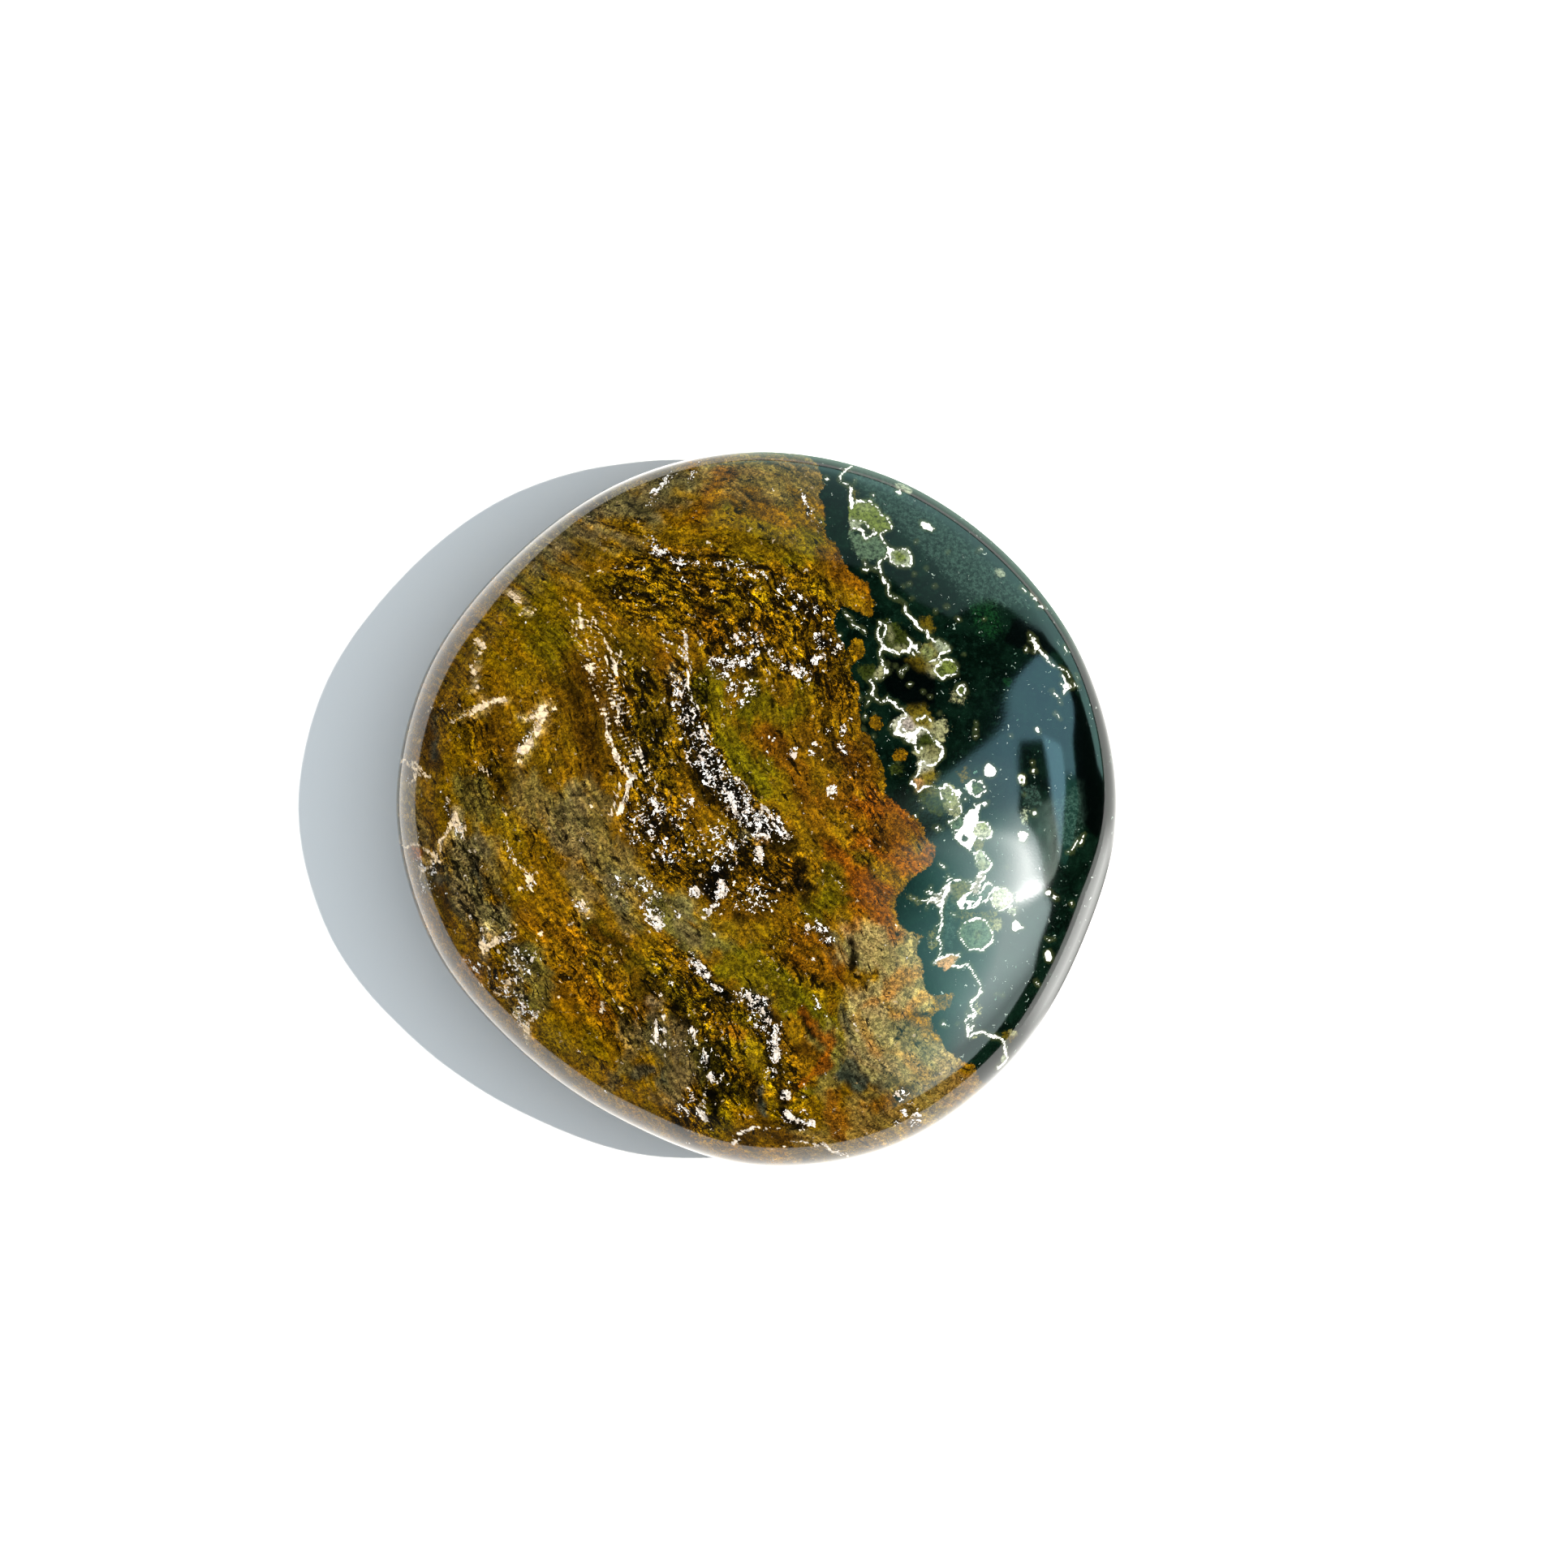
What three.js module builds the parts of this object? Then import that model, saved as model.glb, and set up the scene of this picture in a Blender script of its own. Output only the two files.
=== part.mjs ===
// Ocean jasper palm stone: one pebble of orbicular jasper, ground and polished all over.
// It is nearly round in plan, domed on both faces, and rests on a small worn flat spot.
// Millimetres, +Z up. The origin is the middle of the flat spot, under the middle of the plan.

import * as THREE from 'three';
import { mergeVertices } from 'three/addons/utils/BufferGeometryUtils.js';

// Driving dimensions
const THICKNESS = 19.6; // flat spot to the top of the crown
const GIRTH_HEIGHT = 9.3; // height of the widest line above the flat spot
const FLAT_SPOT_RADIUS = 6.5;

// The top of the crown lies a little off the middle, because the stone was ground by hand.
const CROWN_LEAN = [0.5, -1.6];

// Fullness is the exponent of a superellipse: 2 is an ellipse, and more is squarer at the rim.
const CROWN_FULLNESS = 2.75;
const BELLY_FULLNESS = 2.45;

// Radius of the girth at equal steps of bearing, from +X (the green side) towards +Y.
// Hand grinding left it a little flat at two places on the -Y side.
const GIRTH_RADII = [
  31.1, 30.95, 30.75, 30.87, 30.85, 30.57, 30.3, 30.95,
  31.15, 30.4, 29.25, 29.35, 30.8, 31.4, 30.95, 30.4,
];

// Fineness of the facets
const FACETS_AROUND = 96;
const FACETS_UP_CROWN = 20;
const FACETS_UP_BELLY = 17;

// The girth as seen from above: one smooth closed curve through the radii.
function girthCurve() {
  const points = GIRTH_RADII.map((radius, i) => {
    const bearing = (i / GIRTH_RADII.length) * 2 * Math.PI;
    return new THREE.Vector3(radius * Math.cos(bearing), radius * Math.sin(bearing), 0);
  });
  return new THREE.CatmullRomCurve3(points, true, 'catmullrom', 0.5);
}

// One quarter of a superellipse: [reach, rise], both 0 to 1, as the turn goes from 0 to 90 degrees.
function quarter(turn, fullness) {
  return [
    Math.cos(turn) ** (2 / fullness),
    Math.sin(turn) ** (2 / fullness),
  ];
}

// Equal turns of a quarter, from its pole down to the girth.
function turns(count) {
  return Array.from({ length: count + 1 }, (_, i) => (1 - i / count) * (Math.PI / 2));
}

// Half section as a share of the girth radius against height, from the bottom centre to the top.
// The belly starts at the edge of the flat spot, and the crown closes on the axis.
function halfSection() {
  const spot = FLAT_SPOT_RADIUS / Math.max(...GIRTH_RADII);
  const belly = turns(FACETS_UP_BELLY).map((turn) => {
    const [reach, drop] = quarter(turn, BELLY_FULLNESS);
    return new THREE.Vector2(spot + (1 - spot) * reach, GIRTH_HEIGHT * (1 - drop));
  });
  const crown = turns(FACETS_UP_CROWN).reverse().slice(1).map((turn) => {
    const [reach, rise] = quarter(turn, CROWN_FULLNESS);
    return new THREE.Vector2(reach, GIRTH_HEIGHT + (THICKNESS - GIRTH_HEIGHT) * rise);
  });
  crown[crown.length - 1].x = 0;
  return [new THREE.Vector2(0, 0), ...belly, ...crown];
}

// The half section is turned about the axis and stood up on +Z. Each level is then stretched to
// the girth, and the crown's levels drift from the middle as the square of their rise.
function stoneGeometry() {
  const turned = new THREE.LatheGeometry(halfSection(), FACETS_AROUND);
  turned.rotateX(Math.PI / 2);
  turned.deleteAttribute('normal');
  turned.deleteAttribute('uv');
  const girth = girthCurve();
  const place = turned.attributes.position;
  for (let i = 0; i < place.count; i += 1) {
    const reach = Math.hypot(place.getX(i), place.getY(i));
    const bearing = Math.atan2(place.getY(i), place.getX(i)) / (2 * Math.PI);
    const rim = girth.getPoint((bearing + 1) % 1);
    const rise = Math.max(0, (place.getZ(i) - GIRTH_HEIGHT) / (THICKNESS - GIRTH_HEIGHT));
    place.setX(i, rim.x * reach + CROWN_LEAN[0] * rise ** 2);
    place.setY(i, rim.y * reach + CROWN_LEAN[1] * rise ** 2);
  }
  return mergeVertices(turned, 1e-4);
}

const polishedJasper = new THREE.MeshStandardMaterial({
  color: 0x6b5420,
  roughness: 0.15,
  metalness: 0,
});

const stone = new THREE.Mesh(stoneGeometry(), polishedJasper);
stone.name = 'stone';

const oceanJasper = new THREE.Group();
oceanJasper.add(stone);

export default oceanJasper;
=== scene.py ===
import math

import bpy
import numpy as np
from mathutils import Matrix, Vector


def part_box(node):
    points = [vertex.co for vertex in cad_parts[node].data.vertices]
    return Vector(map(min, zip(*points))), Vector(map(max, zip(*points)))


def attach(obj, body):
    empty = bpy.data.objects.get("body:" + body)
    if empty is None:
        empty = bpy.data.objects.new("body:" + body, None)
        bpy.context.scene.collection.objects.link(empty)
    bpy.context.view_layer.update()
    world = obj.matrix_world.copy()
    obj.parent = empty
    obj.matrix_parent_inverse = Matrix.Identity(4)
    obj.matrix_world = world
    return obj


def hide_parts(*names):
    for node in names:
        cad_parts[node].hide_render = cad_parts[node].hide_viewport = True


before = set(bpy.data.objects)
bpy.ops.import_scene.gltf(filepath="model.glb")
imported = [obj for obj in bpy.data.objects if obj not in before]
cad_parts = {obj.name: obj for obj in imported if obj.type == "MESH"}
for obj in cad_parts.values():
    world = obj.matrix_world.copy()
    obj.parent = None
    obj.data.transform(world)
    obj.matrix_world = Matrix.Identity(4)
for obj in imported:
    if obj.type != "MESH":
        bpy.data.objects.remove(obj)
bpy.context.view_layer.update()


# ---------------------------------------------------------------------------------------------
# Camera. It hangs straight above the stone and looks down on it, 450 mm over the stone's widest
# line, with a lens that takes in a square of table about twice as wide as the stone.
# ---------------------------------------------------------------------------------------------
girth_mm = 9.3
eye_mm = (2.33, 2.12, girth_mm + 450.0)
view_width_mm = 135.6
sensor_mm = 36.0

camera_data = bpy.data.cameras.new("camera")
camera_data.sensor_width = sensor_mm
camera_data.lens = sensor_mm * (eye_mm[2] - girth_mm) / view_width_mm
camera_data.clip_start = 0.01
camera = bpy.data.objects.new("camera", camera_data)
camera.location = [side / 1000 for side in eye_mm]
bpy.context.scene.collection.objects.link(camera)
bpy.context.scene.camera = camera


# ---------------------------------------------------------------------------------------------
# The stone's body. A palm stone of ocean jasper: a lump of orb-bearing chalcedony, sawn, ground
# by hand to a flattened round, tumbled and polished, with a small worn flat underneath.
# ---------------------------------------------------------------------------------------------
thickness_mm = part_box("stone")[1][2] * 1000
flat_spot_mm = 6.5
crown_lean_mm = (0.5, -1.6)
crown_fullness = 2.75
belly_fullness = 2.45
# Radius of the girth at equal steps of bearing, from +X towards +Y
girth_radii_mm = np.array([
    31.1, 30.95, 30.75, 30.87, 30.85, 30.57, 30.3, 30.95,
    31.15, 30.4, 29.25, 29.35, 30.8, 31.4, 30.95, 30.4,
])
# Fineness: cells across the crown, how much they crowd towards +X, and points along a half section
crown_cells = 280
crowding = 0.25
section_points = 900
# The shoulder that is ground tighter on the far right: its bearing in degrees, its middle and its
# width as shares of the crown's rise, and how far it stands out as a share of the radius.
shoulder_bearing, shoulder_middle, shoulder_width, shoulder_out = 65, 0.43, 0.16, 0.022
grinding_wave_mm = 0.022


def girth_at(bearing):
    """Plan of the widest line. A cubic runs through the listed radii, and its slope at each one is
    half the step between that radius's two neighbours."""
    count = len(girth_radii_mm)
    turns = np.arange(count) / count * 2 * math.pi
    knots = girth_radii_mm[:, None] * np.stack([np.cos(turns), np.sin(turns)], axis=1)
    place = (bearing / (2 * math.pi) * count) % count
    start = np.floor(place).astype(int)
    part = (place - start)[:, None]
    before, here, ahead, after = (knots[(start + step) % count] for step in (-1, 0, 1, 2))
    slope_here = (ahead - before) / 2
    slope_ahead = (after - here) / 2
    return (
        (2 * part**3 - 3 * part**2 + 1) * here
        + (part**3 - 2 * part**2 + part) * slope_here
        + (3 * part**2 - 2 * part**3) * ahead
        + (part**3 - part**2) * slope_ahead
    )


def even_section(fullness, rise_mm, spot, share):
    """Half section from the pole (share 0) to the girth (share 1), at even steps of its length.
    It is a quarter of a superellipse, reach cos^(2/f) and rise sin^(2/f), outside a flat spot."""
    turn = np.linspace(math.pi / 2, 0, section_points)
    reach = spot + (1 - spot) * np.cos(turn) ** (2 / fullness)
    rise = np.sin(turn) ** (2 / fullness)
    if spot:
        reach = np.append(0, reach)
        rise = np.append(1, rise)
    steps = np.hypot(np.diff(reach) * girth_radii_mm.mean(), np.diff(rise) * rise_mm)
    length = np.append(0, np.cumsum(steps))
    length /= length[-1]
    return np.interp(share, length, reach), np.interp(share, length, rise)


def round_from_square(cells):
    """Bearing and share of the way out for each corner of a square grid laid on a disc: each
    square ring of the grid becomes a circle. The grid is finer towards +X, where the orbs are."""
    step = np.linspace(-1, 1, cells + 1)
    across, up = np.meshgrid(step + crowding * (1 - step**2), step, indexing="ij")
    wide = np.abs(across) >= np.abs(up)
    share = np.where(wide, across, up)
    other = np.where(wide, up, across)
    lean = math.pi / 4 * other / np.where(share == 0, 1, share)
    bearing = np.where(wide, lean, math.pi / 2 - lean) + np.where(share < 0, math.pi, 0)
    return bearing.ravel(), np.abs(share).ravel()


def lobe(bearing, middle_degrees, steepness, floor):
    """1 round one bearing, falling to 0 on both sides: steepness cos(turn from middle) - floor."""
    return np.clip(steepness * np.cos(bearing - math.radians(middle_degrees)) - floor, 0, 1)


def bump(value, middle, width):
    """exp(-((value - middle) / width)^2)"""
    return np.exp(-(((value - middle) / width) ** 2))


def crown_places():
    """Top face: the girth scaled by the reach, lifted by the rise, its levels drifting off the
    middle as the square of the rise, with the slow waves that hand grinding leaves. The shoulder
    is ground tighter on the far right."""
    bearing, share = round_from_square(crown_cells)
    reach, rise = even_section(crown_fullness, thickness_mm - girth_mm, 0, share)
    reach = reach + (
        shoulder_out * lobe(bearing, shoulder_bearing, 1.6, 0.3)
        * bump(rise, shoulder_middle, shoulder_width)
    )
    plan = girth_at(bearing) * reach[:, None] + np.array(crown_lean_mm) * rise[:, None] ** 2
    wave = np.sin(plan[:, 0] * 0.62 + 0.9) * np.sin(plan[:, 1] * 0.55 + 2.0)
    wave += 0.7 * np.sin(plan[:, 0] * 0.31 - plan[:, 1] * 0.93)
    lift = girth_mm + (thickness_mm - girth_mm) * rise + grinding_wave_mm * wave * (1 - share**4)
    return np.column_stack([plan, lift])


def belly_places():
    """Underside: the same girth drawn in to the flat spot, at half the fineness of the crown."""
    bearing, share = round_from_square(crown_cells // 2)
    spot = flat_spot_mm / girth_radii_mm.max()
    reach, drop = even_section(belly_fullness, girth_mm, spot, share)
    plan = girth_at(bearing) * reach[:, None]
    return np.column_stack([plan, girth_mm * (1 - drop)])


def stone_faces():
    """Corner numbers of every face, row by row, and each face's number of corners. The belly's
    outer cells take in the crown's in-between rim corners, so the skin is closed."""
    fine = np.arange((crown_cells + 1) ** 2).reshape(crown_cells + 1, -1)
    half = crown_cells // 2
    inner = np.zeros((half + 1, half + 1), bool)
    inner[1:-1, 1:-1] = True
    coarse = fine[::2, ::2].copy()
    coarse[inner] = fine.size + np.arange(inner.sum())
    crown = np.stack([fine[:-1, :-1], fine[1:, :-1], fine[1:, 1:], fine[:-1, 1:]], axis=-1)
    i, j = np.meshgrid(np.arange(half), np.arange(half), indexing="ij")
    left = np.where(i == 0, fine[0, 2 * j + 1], -1)
    right = np.where(i == half - 1, fine[-1, 2 * j + 1], -1)
    near = np.where(j == 0, fine[2 * i + 1, 0], -1)
    far = np.where(j == half - 1, fine[2 * i + 1, -1], -1)
    belly = np.stack([
        coarse[:-1, :-1], left, coarse[:-1, 1:], far,
        coarse[1:, 1:], right, coarse[1:, :-1], near,
    ], axis=-1)
    rows = np.vstack([
        np.pad(crown.reshape(-1, 4), ((0, 0), (0, 4)), constant_values=-1),
        belly.reshape(-1, 8),
    ])
    return rows[rows >= 0], (rows >= 0).sum(axis=1), inner.ravel()


corners, corner_counts, belly_inner = stone_faces()
place_mm = np.vstack([crown_places(), belly_places()[belly_inner]])

# Small knocks in the rim: where each one is, how wide it is, and how deep.
rim_chips_mm = [
    ((28.3, -11.6, 9.6), 0.55, 0.22),
    ((27.4, -13.2, 10.4), 0.40, 0.15),
    ((-27.4, -12.6, 10.2), 0.75, 0.28),
    ((-26.6, -13.6, 9.4), 0.50, 0.20),
]
for chip_middle, chip_width, chip_depth in rim_chips_mm:
    chip_gap = np.linalg.norm(place_mm - chip_middle, axis=1)
    chip_cut = chip_depth * np.clip(1 - (chip_gap / chip_width) ** 2, 0, 1)
    place_mm[:, :2] *= 1 - (chip_cut / np.hypot(*chip_middle[:2]))[:, None]

stone_mesh = bpy.data.meshes.new("jasper_stone")
stone_mesh.vertices.add(len(place_mm))
stone_mesh.vertices.foreach_set("co", (place_mm / 1000).ravel())
stone_mesh.loops.add(len(corners))
stone_mesh.loops.foreach_set("vertex_index", corners)
stone_mesh.polygons.add(len(corner_counts))
stone_mesh.polygons.foreach_set("loop_start", np.cumsum(corner_counts) - corner_counts)
stone_mesh.update(calc_edges=True)
stone_mesh.validate()
stone_mesh.shade_smooth()
stone = bpy.data.objects.new("jasper_stone", stone_mesh)
bpy.context.scene.collection.objects.link(stone)


# ---------------------------------------------------------------------------------------------
# The chart of markings. Every marking in the rock is drawn on a chart of the stone seen
# from the camera, in squares of 0.0702 mm, x to the right and y down. Deep in the stone the
# markings drift and bend away, so the sides and the underside are the same rock, cut elsewhere.
# ---------------------------------------------------------------------------------------------
square_mm = 0.0702
chart_middle = 966.0
bend_starts_mm = 13.0
drift_per_mm = (6.0, 4.0)
bend_per_mm = 3.5
bend_grain_mm = 8.0
lattice_cells = 40


def cloud(where, grain, seed):
    """Smooth random field from -1 to 1: random numbers on a cubic lattice with cells as wide as
    grain, blended between the lattice corners by a smooth cubic step."""
    lattice = np.random.default_rng(seed).uniform(-1, 1, (lattice_cells,) * 3)
    cell = where / grain + 10 * lattice_cells
    low = np.floor(cell).astype(int)
    part = cell - low
    part = part * part * (3 - 2 * part)
    total = np.zeros(len(where))
    for corner in np.ndindex(2, 2, 2):
        weight = np.where(corner, part, 1 - part).prod(axis=1)
        spot = (low + corner) % lattice_cells
        total += weight * lattice[spot[:, 0], spot[:, 1], spot[:, 2]]
    return total


depth_mm = np.clip(bend_starts_mm - place_mm[:, 2], 0, None)
spread = 1 / (square_mm * (eye_mm[2] - place_mm[:, 2]) / (eye_mm[2] - girth_mm))
chart = np.column_stack([
    chart_middle + (place_mm[:, 0] - eye_mm[0]) * spread,
    chart_middle - (place_mm[:, 1] - eye_mm[1]) * spread,
])
chart += depth_mm[:, None] * drift_per_mm
bend = np.column_stack([cloud(place_mm, bend_grain_mm, 11), cloud(place_mm, bend_grain_mm, 12)])
chart += bend * (depth_mm * bend_per_mm)[:, None]

# A second chart with frayed, wandering coordinates is for markings with no clean edge.
fray = np.column_stack([
    7.0 * cloud(place_mm, 1.7, 21) + 4.0 * cloud(place_mm, 0.6, 22),
    7.0 * cloud(place_mm, 1.7, 23) + 4.0 * cloud(place_mm, 0.6, 24),
])
frayed_chart = chart + fray


def gap_to(trail, where, farthest):
    """Distance in squares from each chart place to a trail of straight pieces, at most farthest."""
    trail = np.array(trail, float).reshape(-1, 2)
    trail = np.vstack([trail, trail[-1:]])
    near = ((where > trail.min(0) - farthest) & (where < trail.max(0) + farthest)).all(axis=1)
    gap = np.full(len(where), float(farthest))
    spot = where[near]
    best = gap[near]
    for start, end in zip(trail[:-1], trail[1:]):
        run = end - start
        along = np.clip((spot - start) @ run / max(run @ run, 1e-9), 0, 1)
        best = np.minimum(best, np.hypot(*(spot - start - along[:, None] * run).T))
    gap[near] = best
    return gap


def closed(ring):
    """The ring with its first point again at the end."""
    return [*ring, ring[0]]


def within(ring, where):
    """True for each chart place that a closed ring surrounds: a line from it towards +x crosses
    the ring an odd number of times."""
    odd = np.zeros(len(where), bool)
    ring = closed(ring)
    for (x0, y0), (x1, y1) in zip(ring[:-1], ring[1:]):
        if y0 == y1:
            continue
        spans = (where[:, 1] < y0) != (where[:, 1] < y1)
        crossing = x0 + (x1 - x0) * (where[:, 1] - y0) / (y1 - y0)
        odd ^= spans & (where[:, 0] < crossing)
    return odd


def depth_in(ring, where, farthest):
    """Signed distance in squares to a closed ring: above zero inside it."""
    gap = gap_to(closed(ring), where, farthest)
    return np.where(within(ring, where), gap, -gap)


def step_up(value, low, high):
    """0 below low, 1 above high, and a smooth cubic step between."""
    part = np.clip((value - low) / (high - low), 0, 1)
    return part * part * (3 - 2 * part)


def linear(hex_colour):
    """sRGB hex to linear red, green and blue."""
    share = np.array([int(hex_colour[i:i + 2], 16) for i in (1, 3, 5)]) / 255
    return np.where(share <= 0.04045, share / 12.92, ((share + 0.055) / 1.055) ** 2.4)


def keep(name, kind, field, values):
    """Stores one value for each corner of the mesh under a name that the material reads."""
    layer = stone_mesh.attributes.new(name, kind, "POINT")
    layer.data.foreach_set(field, np.ascontiguousarray(values, np.float32).ravel())


# ---------------------------------------------------------------------------------------------
# The two kinds of rock. The left two thirds are brown jasper, stained by iron; the right third is
# dark green chalcedony. They meet along one scalloped line, with a few islands of brown in the green.
# ---------------------------------------------------------------------------------------------
green_side = [
    (985, 520), (997, 562), (1006, 573), (1013, 588), (1015, 598), (1007, 609), (1015, 623),
    (1017, 638), (1016, 650), (1019, 661), (1028, 667), (1034, 682), (1041, 697), (1049, 707),
    (1059, 713), (1069, 719), (1070, 729), (1073, 736), (1078, 744), (1076, 755), (1072, 760),
    (1063, 755), (1053, 749), (1038, 746), (1030, 754), (1028, 768), (1033, 784), (1040, 798),
    (1046, 806), (1050, 790), (1057, 785), (1065, 793), (1067, 802), (1059, 812), (1049, 820),
    (1050, 834), (1056, 843), (1059, 857), (1059, 872), (1060, 900), (1074, 909), (1078, 920),
    (1085, 935), (1089, 950), (1091, 962), (1089, 977), (1095, 984), (1106, 993), (1117, 1002),
    (1130, 1010), (1139, 1019), (1139, 1030), (1144, 1035), (1152, 1043), (1152, 1054), (1147, 1065),
    (1139, 1072), (1128, 1078), (1121, 1084), (1112, 1095), (1106, 1107), (1104, 1123), (1109, 1139),
    (1120, 1148), (1131, 1149), (1136, 1154), (1131, 1166), (1131, 1177), (1136, 1188), (1136, 1199),
    (1139, 1212), (1144, 1223), (1153, 1227), (1168, 1223), (1175, 1224), (1174, 1233), (1168, 1242),
    (1153, 1249), (1146, 1256), (1150, 1268), (1158, 1278), (1168, 1295), (1182, 1307), (1200, 1312),
    (1206, 1330), (1235, 1345), (1300, 1500), (1700, 1500), (1700, 400), (985, 400),
]
brown_islands = [
    [(1072, 884), (1078, 880), (1086, 884), (1088, 893), (1083, 900), (1075, 899), (1071, 892)],
    [(1101, 930), (1104, 923), (1112, 921), (1118, 927), (1117, 935), (1110, 937), (1102, 935)],
    [(1150, 1228), (1166, 1226), (1174, 1230), (1166, 1240), (1152, 1244)],
]
# Depth in the green rock is worked out up to edge_reach squares from the edge, where the two rocks
# blend over edge_blend squares. edge_fray is the edge's share of the chart's fray.
edge_reach = 60
edge_blend = 6
edge_fray = 0.22
ragged = chart + edge_fray * fray
green_depth = depth_in(green_side, ragged, edge_reach)
for island in brown_islands:
    green_depth = np.minimum(green_depth, -depth_in(island, ragged, edge_reach))
keep("green_depth", "FLOAT", "value", green_depth * square_mm)
greenness = step_up(green_depth, -edge_blend / 2, edge_blend / 2)


# ---------------------------------------------------------------------------------------------
# The grain of the brown rock. The gel flowed and folded before it set, so its stains and strands
# are drawn out along flow lines. Each arrow is a place on the chart and the way the flow runs.
# ---------------------------------------------------------------------------------------------
flow_arrows = np.array([
    (720, 800, 0.25, 1), (760, 900, 0.35, 1), (690, 880, 0.2, 1), (640, 820, 0.1, 1),
    (560, 930, 0.1, 1), (520, 1000, 0.1, 1), (545, 1100, 0.4, 1), (600, 1060, 0.3, 1),
    (640, 1180, 0.5, 1), (590, 1180, 0.5, 1), (700, 1200, 0.6, 1), (760, 1190, 0.8, 0.9),
    (690, 1290, 0.6, 0.9), (780, 1290, 0.35, 1), (830, 1210, 0.6, 0.9), (870, 1155, 1, 0.35),
    (800, 1115, 0.9, 0.6), (900, 1240, 0.5, 0.9), (950, 1300, 0.25, 1), (870, 1330, 0.3, 1),
    (1000, 1262, 0.55, 0.85), (1028, 1300, 0.1, 1), (1000, 1380, 0.8, 0.4), (900, 1400, 1, 0.1),
    (1100, 1290, 0.7, 0.7), (1100, 1210, 0.5, 0.8), (1060, 1180, 0.4, 1), (1000, 1190, 0.8, 0.6),
    (850, 870, 0.4, 1), (900, 960, 0.65, 1), (950, 1010, 0.6, 1), (920, 880, 0.5, 1),
    (985, 950, 0.7, 1), (1060, 1010, 0.8, 0.8), (1050, 900, 0.4, 1), (820, 980, 0.2, 1),
    (780, 980, 0, 1), (700, 1010, 0.7, 0.7), (870, 620, 1, -0.8), (930, 590, 1, -0.2),
    (985, 620, 1, 0.7), (780, 640, 1, -0.6), (720, 690, 1, -0.3), (880, 695, 1, 0.25),
    (960, 725, 1, 0.4), (1010, 700, 0.8, 0.6), (850, 760, 0.6, 0.8), (940, 790, 0.8, 0.6),
    (1000, 830, 0.5, 0.9),
])
# How far each arrow counts, in squares, how stiff the fit to the arrows is, and how slowly the
# coordinates run along the flow, which draws out all that is laid on them.
arrow_reach = 105.0
fit_stiffness = 0.004
drawn_out = 0.30


def swell(where):
    """One smooth bump round each arrow: exp(-d^2 / 2 r^2) for distance d and reach r."""
    gap = where[:, None] - flow_arrows[None, :, :2]
    return gap, np.exp(-(gap**2).sum(axis=2) / (2 * arrow_reach**2))


# The field across the flow is a slope plus one bump an arrow. It is fitted so that at each arrow it
# climbs by one square per square at right angles to the flow, and not at all along it.
arrow_gap, arrow_swell = swell(flow_arrows[:, :2])
climb = np.concatenate([
    np.column_stack([np.tile((1.0, 0.0), (len(flow_arrows), 1)),
                     -arrow_gap[:, :, 0] * arrow_swell / arrow_reach**2]),
    np.column_stack([np.tile((0.0, 1.0), (len(flow_arrows), 1)),
                     -arrow_gap[:, :, 1] * arrow_swell / arrow_reach**2]),
])
way = flow_arrows[:, 2:] / np.linalg.norm(flow_arrows[:, 2:], axis=1, keepdims=True)
wanted = np.concatenate([way[:, 1], -way[:, 0]])
ridge = fit_stiffness * np.eye(climb.shape[1])
ridge[0, 0] = ridge[1, 1] = 0
wanted = np.append(wanted, np.zeros(len(ridge)))
fitted = np.linalg.lstsq(np.vstack([climb, ridge]), wanted, rcond=None)[0]
across_flow = chart @ fitted[:2] + swell(chart)[1] @ fitted[2:]
flow = np.column_stack([across_flow, chart * drawn_out]) * square_mm
flow[:, 0] += 0.5 * cloud(place_mm, 2.2, 31) + 0.2 * cloud(place_mm, 0.9, 32)
keep("flow", "FLOAT_VECTOR", "vector", flow)

# Ragged edges for stains: two sizes of cloud, both drawn out along the flow.
rag = 0.75 * cloud(flow, 0.75, 41) + 0.55 * cloud(flow, 0.32, 42) + 0.25 * cloud(place_mm, 0.35, 43)
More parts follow.
